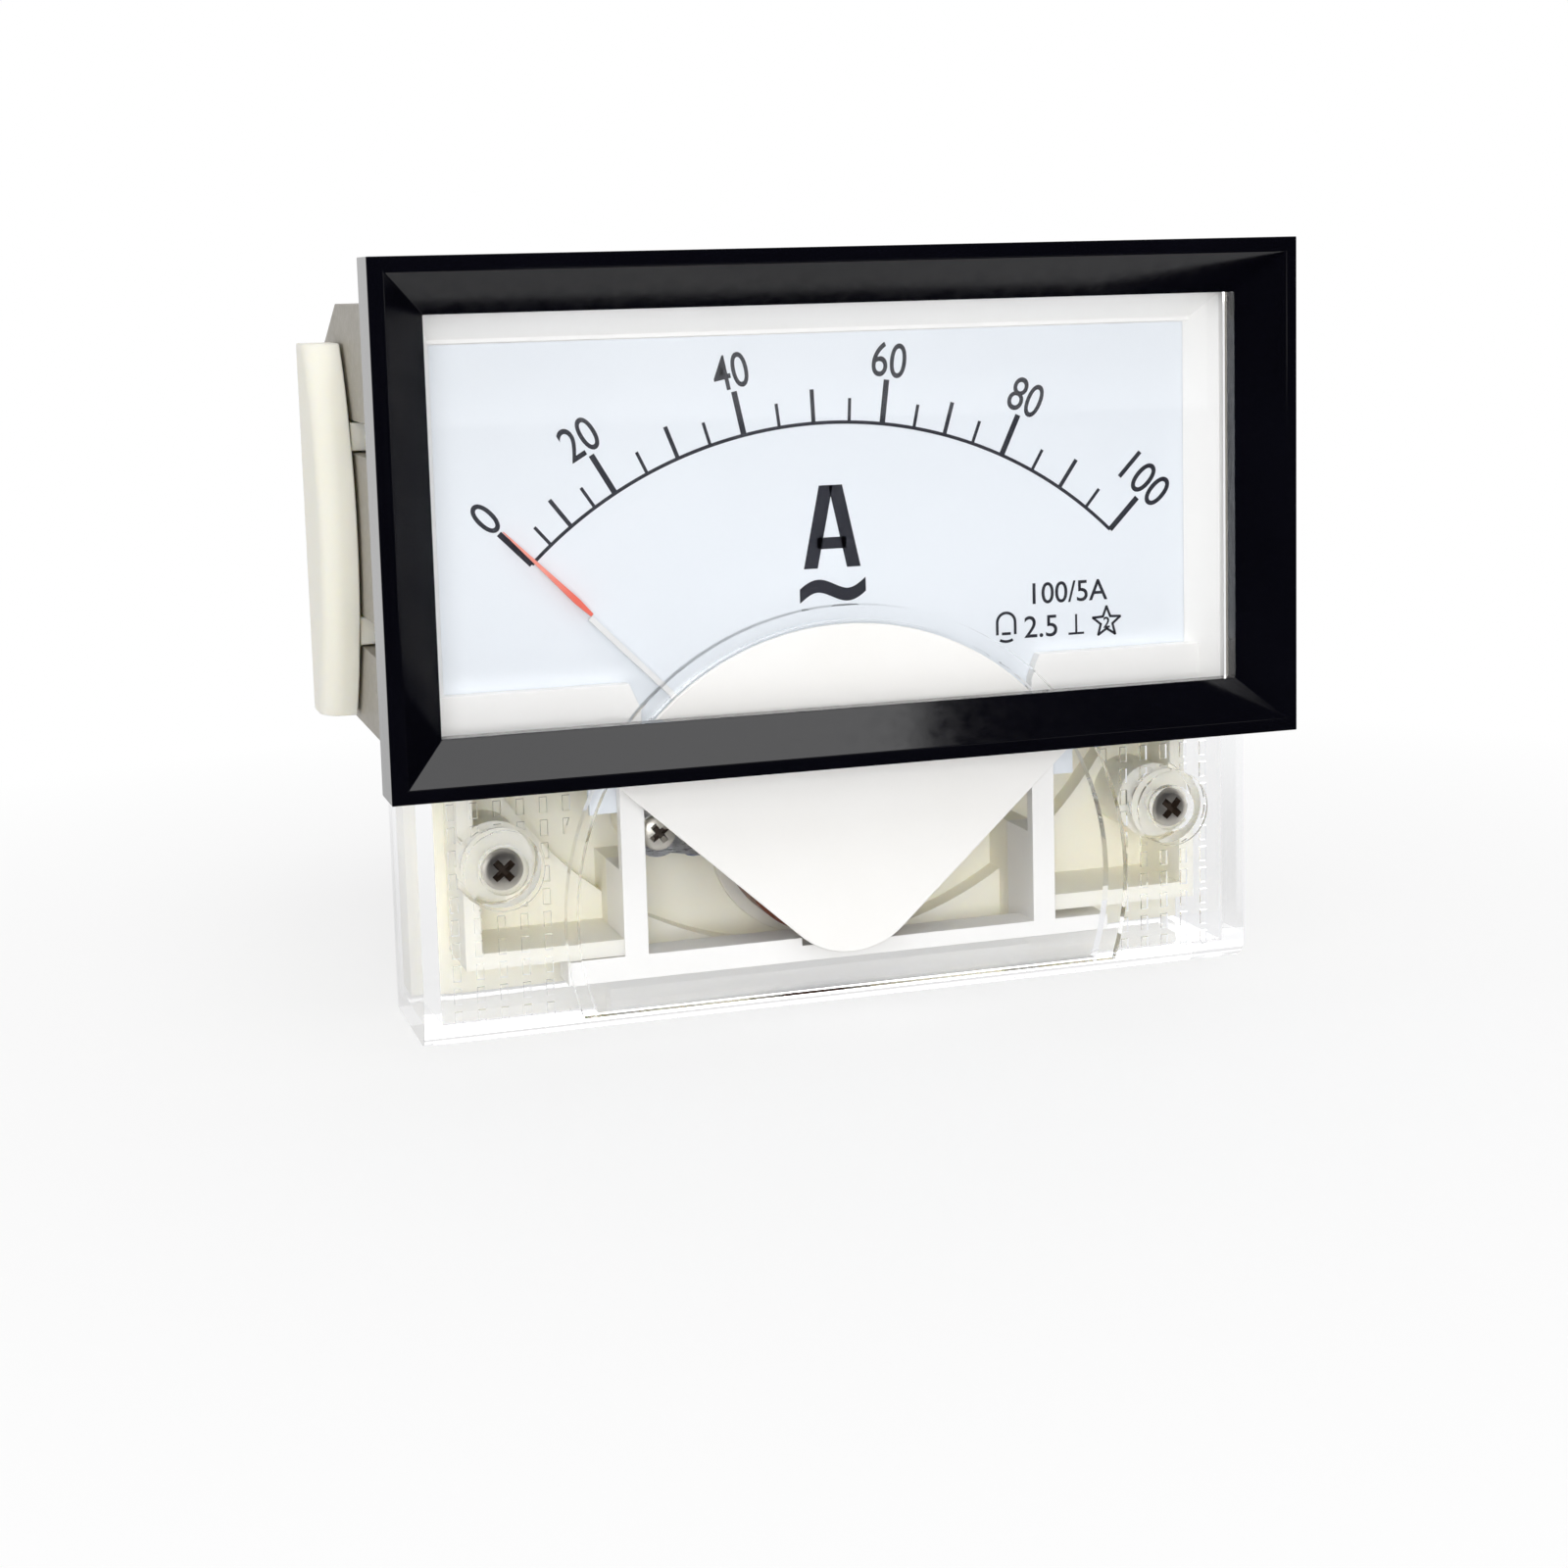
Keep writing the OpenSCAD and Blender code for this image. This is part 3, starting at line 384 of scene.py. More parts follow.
def dress_copy(node: str, bevel: float,
               shape: Callable[[Piece], None] | None = None) -> Piece:
    """Copy a CAD node, merge its loose triangles and round its edges.

    Args:
        node: The node's name.
        bevel: Width of the edge rounding.
        shape: A last correction to the copy's shape, before its edges are rounded.

    Returns:
        The copy, which isn't yet placed on a body.
    """
    activate(frame["nodes"][node])
    bpy.ops.object.duplicate(linked=False)
    copy = bpy.context.object
    copy.name = f"{node}_finished"
    copy.parent = None
    copy.rotation_mode = "XYZ"
    copy.matrix_world = Matrix.Identity(4)
    copy.data.materials.clear()
    with editing(copy, "VERT"):
        bpy.ops.mesh.remove_doubles(threshold=MERGE_GAP * MM)
        bpy.ops.mesh.select_mode(type="FACE")
        bpy.ops.mesh.select_all(action="SELECT")
        bpy.ops.mesh.dissolve_limited(angle_limit=math.radians(FLAT_ANGLE))
    if copy.data.has_custom_normals:
        bpy.ops.mesh.customdata_custom_splitnormals_clear()
    if shape:
        shape(copy)
    soften(copy, bevel)
    return copy


# ------------ shader nodes


def feed(tree: Tree, node: Node, inputs: Inputs) -> None:
    """Give inputs of a node their values, or join them to other nodes.

    Args:
        tree: The tree that the node is in.
        node: The node.
        inputs: Value or source socket of each input, by its name or number.
    """
    for name, value in inputs.items():
        if isinstance(value, Socket):
            tree.links.new(value, node.inputs[name])
        else:
            node.inputs[name].default_value = value


def add_node(tree: Tree, kind: str, inputs: Inputs | None = None,
             **options: object) -> Node:
    """Add one node to a tree.

    Args:
        tree: The tree.
        kind: The node's type.
        inputs: Value or source socket of each input, by its name or number.
        options: The node's own options, by name.

    Returns:
        The node.
    """
    node = tree.nodes.new(kind)
    for name, value in options.items():
        setattr(node, name, value)
    feed(tree, node, inputs or {})
    return node


def calculate(tree: Tree, operation: str, *values: object) -> Socket:
    """Work out a number.

    Args:
        tree: The tree.
        operation: The kind of sum.
        values: Numbers or source sockets.

    Returns:
        The result.
    """
    sums = add_node(tree, "ShaderNodeMath", dict(enumerate(values)), operation=operation)
    return sums.outputs["Value"]


def ramp(tree: Tree, value: Socket, start: float, end: float,
         low: object = 0.0, high: object = 1.0) -> Socket:
    """Let a number go from low to high while value goes from start to end.

    Args:
        tree: The tree.
        value: What the number follows.
        start: The value at which the number leaves low.
        end: The value at which it reaches high.
        low: First number, or its source socket.
        high: Last number, or its source socket.

    Returns:
        The number.
    """
    spread = add_node(tree, "ShaderNodeMapRange", {
        "Value": value, "From Min": start, "From Max": end, "To Min": low, "To Max": high})
    return spread.outputs["Result"]


def blend(tree: Tree, factor: object, first: object,
          second: object) -> Socket:
    """Blend two colours.

    Args:
        tree: The tree.
        factor: 0 for the first colour, 1 for the second.
        first: First colour, or its source socket.
        second: Second colour, or its source socket.

    Returns:
        The blended colour.
    """
    mix = add_node(tree, "ShaderNodeMix", {"Factor": factor, "A": first, "B": second},
                   data_type="RGBA")
    return mix.outputs["Result"]


def layer(tree: Tree, factor: object, under: Socket,
          over: Socket) -> Socket:
    """Put one shader over another.

    Args:
        tree: The tree.
        factor: How much of the upper shader shows.
        under: The lower shader.
        over: The upper shader.

    Returns:
        Both shaders as one.
    """
    mix = add_node(tree, "ShaderNodeMixShader", {"Fac": factor, 1: under, 2: over})
    return mix.outputs["Shader"]


def new_material(name: str) -> tuple[Material, Tree, Node]:
    """Make a material with an untouched shader.

    Args:
        name: The material's name.

    Returns:
        The material, its node tree and its shader.
    """
    material = bpy.data.materials.new(name)
    material.use_nodes = True
    return material, material.node_tree, material.node_tree.nodes["Principled BSDF"]


# ------------ finishes


CLOUD_SPAN = (0.35, 0.68)  # part of the noise that the drift of tone uses
GRAIN_SPAN = (0.3, 0.7)  # part of the noise that the grain uses
LACQUER_GLOSS = 0.08  # roughness of a clear lacquer
SOAK = 0.35  # weight of the light that soaks into a translucent plastic
SOAK_REACH = (1, 0.85, 0.6)  # how far red, green and blue soak in, as parts of the depth
GRAIN_STRENGTH = 0.6  # strength of the grain's relief
TIP_FADE = (33.0, 37.5)  # the pointer pales between these distances from its axis


class Group(Enum):
    """Effects that more than one finish uses."""

    TONE = "tone_drift"
    GRAIN = "surface_grain"
    BRUSH = "drawn_lines"


def new_group(
        kind: Group, inputs: Sequence[tuple[str, str, object]], outputs: Sequence[tuple[str, str]],
) -> tuple[Tree, Node, Node]:
    """Make an empty shader group with named sockets.

    Args:
        kind: The effect the group holds.
        inputs: Name, socket type and first value of each input.
        outputs: Name and socket type of each output.

    Returns:
        The group, its input node and its output node.
    """
    tree = bpy.data.node_groups.new(kind.value, "ShaderNodeTree")
    for name, socket, value in inputs:
        item = tree.interface.new_socket(name, in_out="INPUT", socket_type=socket)
        item.default_value = value
    for name, socket in outputs:
        tree.interface.new_socket(name, in_out="OUTPUT", socket_type=socket)
    return tree, tree.nodes.new("NodeGroupInput"), tree.nodes.new("NodeGroupOutput")


def build_tone_group() -> Tree:
    """Colour that drifts slowly between two tones.

    Returns:
        The group.
    """
    tree, source, sink = new_group(
        Group.TONE,
        [("Base", "NodeSocketColor", (1, 1, 1, 1)), ("Shade", "NodeSocketColor", (0, 0, 0, 1)),
         ("Scale", "NodeSocketFloat", 100.0), ("Amount", "NodeSocketFloat", 0.5)],
        [("Color", "NodeSocketColor")])
    place = add_node(tree, "ShaderNodeTexCoord")
    cloud = add_node(tree, "ShaderNodeTexNoise", {
        "Vector": place.outputs["Object"], "Scale": source.outputs["Scale"], "Detail": 4})
    drift = ramp(tree, cloud.outputs["Fac"], *CLOUD_SPAN)
    share = calculate(tree, "MULTIPLY", drift, source.outputs["Amount"])
    feed(tree, sink, {
        "Color": blend(tree, share, source.outputs["Base"], source.outputs["Shade"])})
    return tree


def build_grain_group(kind: Group) -> Tree:
    """Fine relief and the roughness that goes with it.

    Args:
        kind: GRAIN for a moulded or rolled surface, BRUSH for lines drawn along one axis.

    Returns:
        The group.
    """
    tree, source, sink = new_group(
        kind,
        [("Scale", "NodeSocketFloat", 1000.0), ("Stretch", "NodeSocketVector", (1, 1, 1)),
         ("Smoothest", "NodeSocketFloat", 0.3), ("Roughest", "NodeSocketFloat", 0.4)],
        [("Roughness", "NodeSocketFloat"), ("Height", "NodeSocketFloat")])
    place = add_node(tree, "ShaderNodeTexCoord")
    stretch = add_node(tree, "ShaderNodeVectorMath", {
        0: place.outputs["Object"], 1: source.outputs["Stretch"]}, operation="MULTIPLY")
    grain = add_node(tree, "ShaderNodeTexNoise", {
        "Vector": stretch.outputs["Vector"], "Scale": source.outputs["Scale"],
        "Detail": 3 if kind is Group.GRAIN else 6, "Roughness": 0.55})
    rough = ramp(tree, grain.outputs["Fac"], *GRAIN_SPAN,
                 source.outputs["Smoothest"], source.outputs["Roughest"])
    feed(tree, sink, {"Roughness": rough, "Height": grain.outputs["Fac"]})
    return tree


@dataclass(frozen=True)
class Finish:
    """An opaque finish: two close tones, a grain and a gloss.

    Attributes:
        slot: The record's material slot.
        base: Main colour, linear.
        shade: The tone it drifts to.
        tone: How far it drifts, from 0 to 1.
        tone_scale: Patches of tone per metre.
        gloss: Lowest and highest roughness.
        grain: Marks of the grain per metre.
        relief: Height of the grain.
        metallic: 1 for bare metal.
        coat: Weight of a clear lacquer on top.
        brushed: Stretch of the grain along X, Y and Z if it is drawn, else None.
        tip: Colour far from the pointer's axis, or None where it is the same all over.
        depth: How far light soaks into a translucent plastic.
    """

    slot: str
    base: Point
    shade: Point
    tone: float = 0.5
    tone_scale: float = 120
    gloss: Pair = (0.3, 0.4)
    grain: float = 2500
    relief: float = 0.01
    metallic: float = 0
    coat: float = 0
    brushed: Point | None = None
    tip: Point | None = None
    depth: float = 0

    def fade_to_tip(self, tree: Tree) -> Socket:
        """Blend the main colour into the tip's, by distance from the pointer's axis.

        Args:
            tree: The material's node tree.

        Returns:
            The blended colour.
        """
        place = add_node(tree, "ShaderNodeTexCoord")
        across = add_node(tree, "ShaderNodeVectorMath", {
            0: place.outputs["Object"], 1: (1, 0, 1), 2: (0, 0, -AXIS_Z * MM)},
            operation="MULTIPLY_ADD")
        reach = add_node(tree, "ShaderNodeVectorMath", {0: across.outputs["Vector"]},
                         operation="LENGTH")
        fade = ramp(tree, reach.outputs["Value"], TIP_FADE[0] * MM, TIP_FADE[1] * MM)
        return blend(tree, fade, (*self.base, 1), (*self.tip, 1))

    def build(self, groups: dict[Group, Tree]) -> Material:
        """Build the material.

        Args:
            groups: The shared shader groups.

        Returns:
            The material, named after the slot.
        """
        material, tree, shader = new_material(f"{self.slot}_finish")
        tone = add_node(tree, "ShaderNodeGroup", {
            "Base": (*self.base, 1), "Shade": (*self.shade, 1), "Scale": self.tone_scale,
            "Amount": self.tone}, node_tree=groups[Group.TONE])
        if self.tip:
            feed(tree, tone, {"Base": self.fade_to_tip(tree)})
        grain = add_node(tree, "ShaderNodeGroup", {
            "Scale": self.grain, "Stretch": self.brushed or (1, 1, 1),
            "Smoothest": self.gloss[0], "Roughest": self.gloss[1]},
            node_tree=groups[Group.BRUSH if self.brushed else Group.GRAIN])
        bump = add_node(tree, "ShaderNodeBump", {
            "Distance": self.relief * MM, "Strength": GRAIN_STRENGTH,
            "Height": grain.outputs["Height"]})
        feed(tree, shader, {
            "Base Color": tone.outputs["Color"], "Roughness": grain.outputs["Roughness"],
            "Normal": bump.outputs["Normal"], "Metallic": self.metallic,
            "Coat Weight": self.coat, "Coat Roughness": LACQUER_GLOSS})
        if self.depth:
            feed(tree, shader, {
                "Subsurface Weight": SOAK, "Subsurface Radius": SOAK_REACH,
                "Subsurface Scale": self.depth * MM})
        return material


@dataclass(frozen=True)
class ClearMoulding:
    """Clear moulded plastic that lets light through to what lies behind it.

    Attributes:
        slot: The record's material slot.
        tint: Colour of what is seen through it.
        passing: Colour of the light that it lets through onto other pieces.
        ior: How strongly it bends light.
        gloss: Lowest and highest roughness.
        grain: Marks of the grain per metre.
    """

    slot: str = "clear_cover"
    tint: Point = (0.99, 0.992, 1.0)
    passing: Point = (0.99, 0.992, 0.995)
    ior: float = 1.27
    gloss: Pair = (0.01, 0.045)
    grain: float = 300

    def build(self, groups: dict[Group, Tree]) -> Material:
        """Build the material.

        Args:
            groups: The shared shader groups.

        Returns:
            The material, named after the slot.
        """
        material, tree, shader = new_material(f"{self.slot}_finish")
        grain = add_node(tree, "ShaderNodeGroup", {
            "Scale": self.grain, "Smoothest": self.gloss[0], "Roughest": self.gloss[1]},
            node_tree=groups[Group.GRAIN])
        feed(tree, shader, {
            "Base Color": (*self.tint, 1), "Transmission Weight": 1, "IOR": self.ior,
            "Roughness": grain.outputs["Roughness"]})
        clear = add_node(tree, "ShaderNodeBsdfTransparent", {"Color": (*self.passing, 1)})
        path = add_node(tree, "ShaderNodeLightPath")
        lights = calculate(tree, "MAXIMUM", path.outputs["Is Shadow Ray"],
                           path.outputs["Is Diffuse Ray"])
        feed(tree, tree.nodes["Material Output"], {
            "Surface": layer(tree, lights, shader.outputs["BSDF"], clear.outputs["BSDF"])})
        return material


FINISHES: tuple[Finish | ClearMoulding, ...] = (
    ClearMoulding(),
    Finish("gloss_black", (0.0015, 0.0015, 0.003), (0.003, 0.003, 0.0055), tone_scale=60,
           gloss=(0.06, 0.11), grain=900, relief=0.0015),
    Finish("screw_steel", (0.8, 0.77, 0.7), (0.66, 0.62, 0.55), tone_scale=500,
           gloss=(0.42, 0.55), grain=4000, relief=0.008, metallic=1),
    Finish("white_card", (0.935, 0.92, 0.885), (0.905, 0.885, 0.84), gloss=(0.4, 0.5),
           grain=3500, relief=0.004),
    Finish("white_plastic", (0.945, 0.935, 0.91), (0.92, 0.91, 0.88), gloss=(0.35, 0.45),
           relief=0.006),
    Finish("dial_print", (0.80, 0.835, 0.87), (0.765, 0.805, 0.845), tone_scale=40,
           gloss=(0.5, 0.6), grain=5000, relief=0.001),
    Finish("dark_pin", (0.03, 0.03, 0.035), (0.05, 0.05, 0.05), gloss=(0.3, 0.4)),
    Finish("ivory_plastic", (0.975, 0.94, 0.815), (0.955, 0.915, 0.775), tone_scale=70,
           gloss=(0.32, 0.45), grain=2200, depth=3.0),
    Finish("bright_steel", (0.62, 0.62, 0.63), (0.5, 0.5, 0.52), tone_scale=300,
           gloss=(0.24, 0.36), grain=700, relief=0.006, metallic=1, brushed=(1, 1, 14)),
    Finish("brass", (0.72, 0.52, 0.24), (0.58, 0.4, 0.17), tone_scale=400,
           gloss=(0.22, 0.36), grain=900, relief=0.006, metallic=1, brushed=(1, 12, 1)),
    Finish("copper_winding", (0.19, 0.055, 0.03), (0.1, 0.03, 0.02), tone_scale=500,
           gloss=(0.2, 0.32), grain=3000, coat=0.4),
    Finish("soft_iron", (0.34, 0.34, 0.36), (0.24, 0.24, 0.25), tone_scale=400,
           gloss=(0.4, 0.55), grain=900, metallic=1, brushed=(1, 10, 1)),
    Finish("pointer_white", (0.8, 0.8, 0.79), (0.72, 0.72, 0.71), gloss=(0.4, 0.5)),
    Finish("pointer_red", (0.81, 0.15, 0.1), (0.74, 0.12, 0.08), tone=0.4, tone_scale=300,
           gloss=(0.35, 0.45), grain=4000, relief=0.004, tip=(0.92, 0.36, 0.29)),
    Finish("spring_bronze", (0.6, 0.4, 0.2), (0.48, 0.3, 0.15), tone_scale=900,
           gloss=(0.2, 0.32), grain=2000, relief=0.003, metallic=1, brushed=(1, 1, 1)),
    Finish("blue_sleeve", (0.018, 0.07, 0.3), (0.012, 0.045, 0.2), tone_scale=500,
           gloss=(0.22, 0.34), grain=2500),
    Finish("grey_plastic", (0.34, 0.315, 0.265), (0.295, 0.27, 0.225), tone_scale=60,
           gloss=(0.38, 0.52), grain=1800, relief=0.02),
    # painted shade: this dark brown stands in for the shadow inside the screws' recesses
    Finish("recess_painted_shade", (0.045, 0.03, 0.02), (0.02, 0.014, 0.01), tone_scale=900,
           gloss=(0.35, 0.5), grain=4000),
    Finish("dial_ink", (0.008, 0.009, 0.016), (0.014, 0.014, 0.022), gloss=(0.35, 0.45),
           grain=5000, relief=0.002),
)


@dataclass
class FinishShop:
    """Builds every finish once and puts it on pieces."""

    materials: dict[str, Material] = field(default_factory=dict)

    def build(self) -> None:
        """Build the shared groups and then each finish."""
        groups = {kind: build_tone_group() if kind is Group.TONE else build_grain_group(kind)
                  for kind in Group}
        for finish in FINISHES:
            self.materials[finish.slot] = finish.build(groups)
        LOG.info("%d finishes", len(self.materials))

    def paint(self, piece: Piece, finish: str) -> None:
        """Give piece that finish and no other.

        Args:
            piece: The object.
            finish: The finish's slot.
        """
        piece.data.materials.clear()
        piece.data.materials.append(self.materials[finish])


@dataclass
class SubAssembly:
    """A group of pieces that are built and finished together.

    Attributes:
        shop: Where the finishes come from.
        body: The CAD body the pieces ride on.
    """

    shop: FinishShop
    body: str = "meter"

    def finish_piece(self, piece: Piece, finish: str, slot: str = "",
                     nodes: Sequence[str] = (), body: str = "") -> None:
        """Paint a piece and tie it to its body.

        Args:
            piece: The new piece.
            finish: The finish it gets.
            slot: The record's slot, if it isn't the finish's own name; not used.
            nodes: The CAD nodes that it stands for.
            body: The body it rides on, if not the sub-assembly's.
        """
        self.shop.paint(piece, finish)
        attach(piece, body or self.body)
        if nodes:
            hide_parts(*nodes)
        LOG.info("%s: %d faces", piece.name, len(piece.data.polygons))

    def refine(self, node: str, bevel: float, body: str = "",
               shape: Callable[[Piece], None] | None = None) -> None:
        """Replace a CAD node by a copy with rounded edges and the slot's finish.

        Args:
            node: The CAD node.
            bevel: Edge rounding.
            body: The body it rides on, if not the sub-assembly's.
            shape: A last correction to the copy's shape, before its edges are rounded.
        """
        slot = next(part["material_slot"] for part in frame["record"]["subparts"]
                    if part["node"] == node)
        self.finish_piece(dress_copy(node, bevel, shape), slot, nodes=[node], body=body)


# ------------ fasteners


def thread_ridges(core: float, crest: float, start: float, end: float, pitch: float,
                  ridge: Pair) -> tuple[list[Pair], float]:
    """Half section of a thread, as a row of ridges.

    Args:
        core: Radius between the ridges.
        crest: Radius over the ridges.
        start: Y of the first ridge.
        end: Y before which the last ridge starts.
        pitch: Distance from one ridge to the next.
        ridge: Where the crest begins and ends, as parts of the pitch.

    Returns:
        Points (radius, y), and the Y at which the thread ends.
    """
    points, y = [], start
    while y < end:
        points += [(core, y), (crest, y + pitch * ridge[0]), (crest, y + pitch * ridge[1])]
        y += pitch
    return points, y


@dataclass(frozen=True)
class PanScrew:
    """A cross-recess pan-head screw that points its head forward.

    Attributes:
        head_r: Head radius.
        head_h: Head height.
        shank_r: Radius over the thread.
        length: Length under the head.
        pitch: Distance from one thread to the next.
        dome: Height of the head's rounded part, as a part of the head.
        core: Radius at the thread's foot, as a part of the shank's.
        neck: Plain length under the head.
        run_out: Plain length at the end.
        recess_depth: Depth of the recess, as a part of the head's height.
        recess: Length and width of one arm of the recess, as parts of the head's radius.
        taper: How much of the arm's length and width is left at its floor.
    """

    head_r: float
    head_h: float
    shank_r: float
    length: float
    pitch: float
    dome: float = 0.62
    core: float = 0.78
    neck: float = 0.3
    run_out: float = 1.2
    recess_depth: float = 0.75
    recess: Pair = (1.8, 0.5)
    taper: Pair = (0.4, 0.45)

    def profile(self, seat_y: float) -> list[Pair]:
        """Half section of the screw, from the head's middle to the shank's end.

        Args:
            seat_y: Where the head's underside sits along Y.

        Returns:
            Points (radius, y).
        """
        r, h, tip = self.head_r, self.head_h, seat_y + self.length
        points = [(0, seat_y - h)]
        for turn in map(math.radians, (20, 36, 50, 62, 72, 81)):
            points.append((r * math.sin(turn) ** 0.8,
                           seat_y - h + h * self.dome * (1 - math.cos(turn))))
        points += [(r, seat_y - h * 0.34), (r, seat_y - h * 0.06), (r * 0.97, seat_y),
                   (self.shank_r, seat_y)]
        core = self.shank_r * self.core
        threads, y = thread_ridges(core, self.shank_r, seat_y + self.neck, tip - self.run_out,
                                   self.pitch, (0.45, 0.55))
        return [*points, *threads, (core, y), (core * 0.3, tip), (0, tip)]

    def build(self, name: str, x: float, seat_y: float, z: float, turn: float = 45) -> Piece:
        """Model one screw.

        Args:
            name: The object's name.
            x: The axis's place along X.
            seat_y: Where the head's underside sits along Y.
            z: The axis's place along Z.
            turn: Degrees that the recess is turned.

        Returns:
            The screw.
        """
        screw = turned(name, self.profile(seat_y), x, z, steps=40)
        top = seat_y - self.head_h
        depth = self.head_h * self.recess_depth
        arm, width = (self.head_r * part for part in self.recess)
        for quarter in (0, 90):
            cutter = box_piece("recess", (0, 0, 0), (arm, depth * 2, width))
            with editing(cutter):
                pick_faces(cutter, lambda face: face.normal.y > FACING)
                bpy.ops.transform.resize(value=(self.taper[0], 1, self.taper[1]))
            blade = copy_at(cutter, "recess_blade", (x, top, z), turn + quarter)
            bpy.data.objects.remove(cutter, do_unlink=True)
            subtract(screw, blade)
        heal(screw)
        smooth(screw)
        return screw


@dataclass
class Fasteners(SubAssembly):
    """The screws of the cover, dial, bridge and case."""

    def place(self, name: str, screw: PanScrew, finish: str, node: str,
              places: Sequence[Point], turns: Sequence[float]) -> None:
        """Model a screw once, copy it to its places and join the set.

        Args:
            name: The set's name.
            screw: The kind of screw.
            finish: Its finish.
            node: The CAD node that the set stands for.
            places: Axis x, seat y and axis z of each screw.
            turns: Degrees that each recess is turned.
        """
        first = screw.build(name, 0, 0, 0)
        pieces = [copy_at(first, f"{name}_{i}", at, turn)
                  for i, (at, turn) in enumerate(zip(places, turns))]
        bpy.data.objects.remove(first, do_unlink=True)
        screws = join(name, pieces)
        self.finish_piece(screws, finish, nodes=[node])
        self.darken_recess(screws, screw, places)

    def darken_recess(self, screws: Piece, screw: PanScrew,
                      places: Sequence[Point]) -> None:
        """Paint shade onto the walls and floors of the recesses, as a dark finish.

        Args:
            screws: The joined set.
            screw: The kind of screw.
            places: Axis x, seat y and axis z of each screw.
        """
        # the shadow in each recess is painted on with this dark finish
        screws.data.materials.append(self.shop.materials["recess_painted_shade"])
        for face in screws.data.polygons:
            for x, seat, z in places:
                away = math.hypot(face.center.x / MM - x, face.center.z / MM - z)
                below = face.center.y / MM - (seat - screw.head_h)
                inside = away < screw.head_r * 0.9 and below < screw.head_h * 0.95
                if inside and (face.normal.y > -0.55 or below > screw.head_h * 0.5):
                    face.material_index = 1

    def build(self) -> None:
        """Build every set of screws."""
        self.place("cover_screw_set", PanScrew(1.75, 1.1, 0.9, 10, 0.7), "screw_steel",
                   "cover_screws", [(side * 30.3, -13.7, -26.9) for side in (-1, 1)], (4, -3))
        self.place("dial_screw_set", PanScrew(1.4, 0.45, 0.75, 5, 0.5), "screw_steel",
                   "dial_screws", [(side * 14.5, -10.9, -18) for side in (-1, 1)], (20, -12))
        self.place("bridge_screw_set", PanScrew(1.55, 0.75, 0.8, 5, 0.5), "screw_steel",
                   "bridge_screws", [(-16, -9.8, -25.8), (11.8, -9.8, -25.8)], (8, 33))
        self.place("case_screw_set", PanScrew(2.3, 1.6, 1.15, 9, 0.8), "bright_steel",
                   "case_screws", [(x, -1.6, z) for x in (-31.4, 31.4) for z in (-14.4, 14.4)],
                   (0, 15, 50, 70))


# ------------ housing


@dataclass
class Housing(SubAssembly):
    """Frame, clear cover, base, inner liner, apron, rear case and its two clamps.

    Attributes:
        roundings: Edge rounding of each moulding, in the order in which they are built.
        clamp_rounding: Edge rounding of a clamp.
        slope_back: Y of the frame's inner slope at the window, as the source has it.
        slope_advance: How much nearer to the front that edge is.
        liner_edge: X of the liner's front inner edge, and its Y.
        liner_foot: X and Y of the same slope's far edge, at the dial.
        liner_reach: How much of each side slope's width is left: left, right.
        sill_old: Height of the sill's top as the source has it.
        sill_rise: How much higher the sill under the dial is.
        sill_end: X at which the raised sill ends, beside the movement.
        liner_side: X of the liner's outer sides, and how much further out they are.
    """

    roundings: tuple[tuple[str, float], ...] = (
        ("bezel_frame", 0.08), ("inner_frame", 0.07), ("front_cover", 0), ("apron", 0.12),
        ("base", 0.1), ("rear_case", 0.09))
    clamp_rounding: float = 0.45
    slope_back: float = -16.3
    slope_advance: float = 1.0
    liner_edge: Pair = (35.27, -14.0)
    liner_foot: Pair = (32.8, -10.95)
    liner_reach: Pair = (0.495, 0.84)
    sill_old: float = -14.52
    sill_rise: float = 2.1
    sill_end: float = 18.6
    liner_side: Pair = (35.5, 0.22)

    def flatten_slope(self, piece: Piece) -> None:
        """Bring the window's edge forward, so that the frame's inner slope is flatter.

        Args:
            piece: The frame.
        """
        with editing(piece, "VERT"):
            pick_points(piece, lambda at: abs(at.y - self.slope_back) < ON_FACE)
            bpy.ops.transform.translate(value=(0, -self.slope_advance * MM, 0))

    def fit_liner(self, piece: Piece) -> None:
        """Narrow the liner's side slopes, raise its sill and close its gap to the cover.

        Args:
            piece: The liner.
        """
        edge_x, edge_y = self.liner_edge
        lean = (edge_x - self.liner_foot[0]) / (self.liner_foot[1] - edge_y)
        outer_x, gap = self.liner_side
        with editing(piece, "VERT"):
            for side, reach in zip((-1, 1), self.liner_reach):
                pick_points(piece, lambda at, side=side: abs(
                    at.x * side - edge_x + (at.y - edge_y) * lean) < SLOPE_GAP)
                bpy.ops.transform.resize(value=(reach, 1, 1),
                                         center_override=(side * edge_x * MM, 0, 0))
                pick_points(piece, lambda at, side=side: abs(at.x * side - outer_x) < ON_FACE)
                bpy.ops.transform.translate(value=(side * gap * MM, 0, 0))
            for side in (-1, 1):
                bpy.ops.mesh.select_all(action="SELECT")
                bpy.ops.mesh.bisect(plane_co=(side * self.sill_end * MM, 0, 0),
                                    plane_no=(1, 0, 0))
            pick_points(piece, lambda at: abs(at.z - self.sill_old) < ON_FACE
                        and abs(at.x) > self.sill_end - ON_FACE / 2)
            bpy.ops.transform.translate(value=(0, 0, self.sill_rise * MM))

    def build(self) -> None:
        """Build the housing's pieces."""
        shapes = {"bezel_frame": self.flatten_slope, "inner_frame": self.fit_liner}
        for node, rounding in self.roundings:
            self.refine(node, rounding, shape=shapes.get(node))
        for side in ("left", "right"):
            self.refine(f"side_clamp_{side}", self.clamp_rounding, f"clamp_{side}")


# ------------ dial


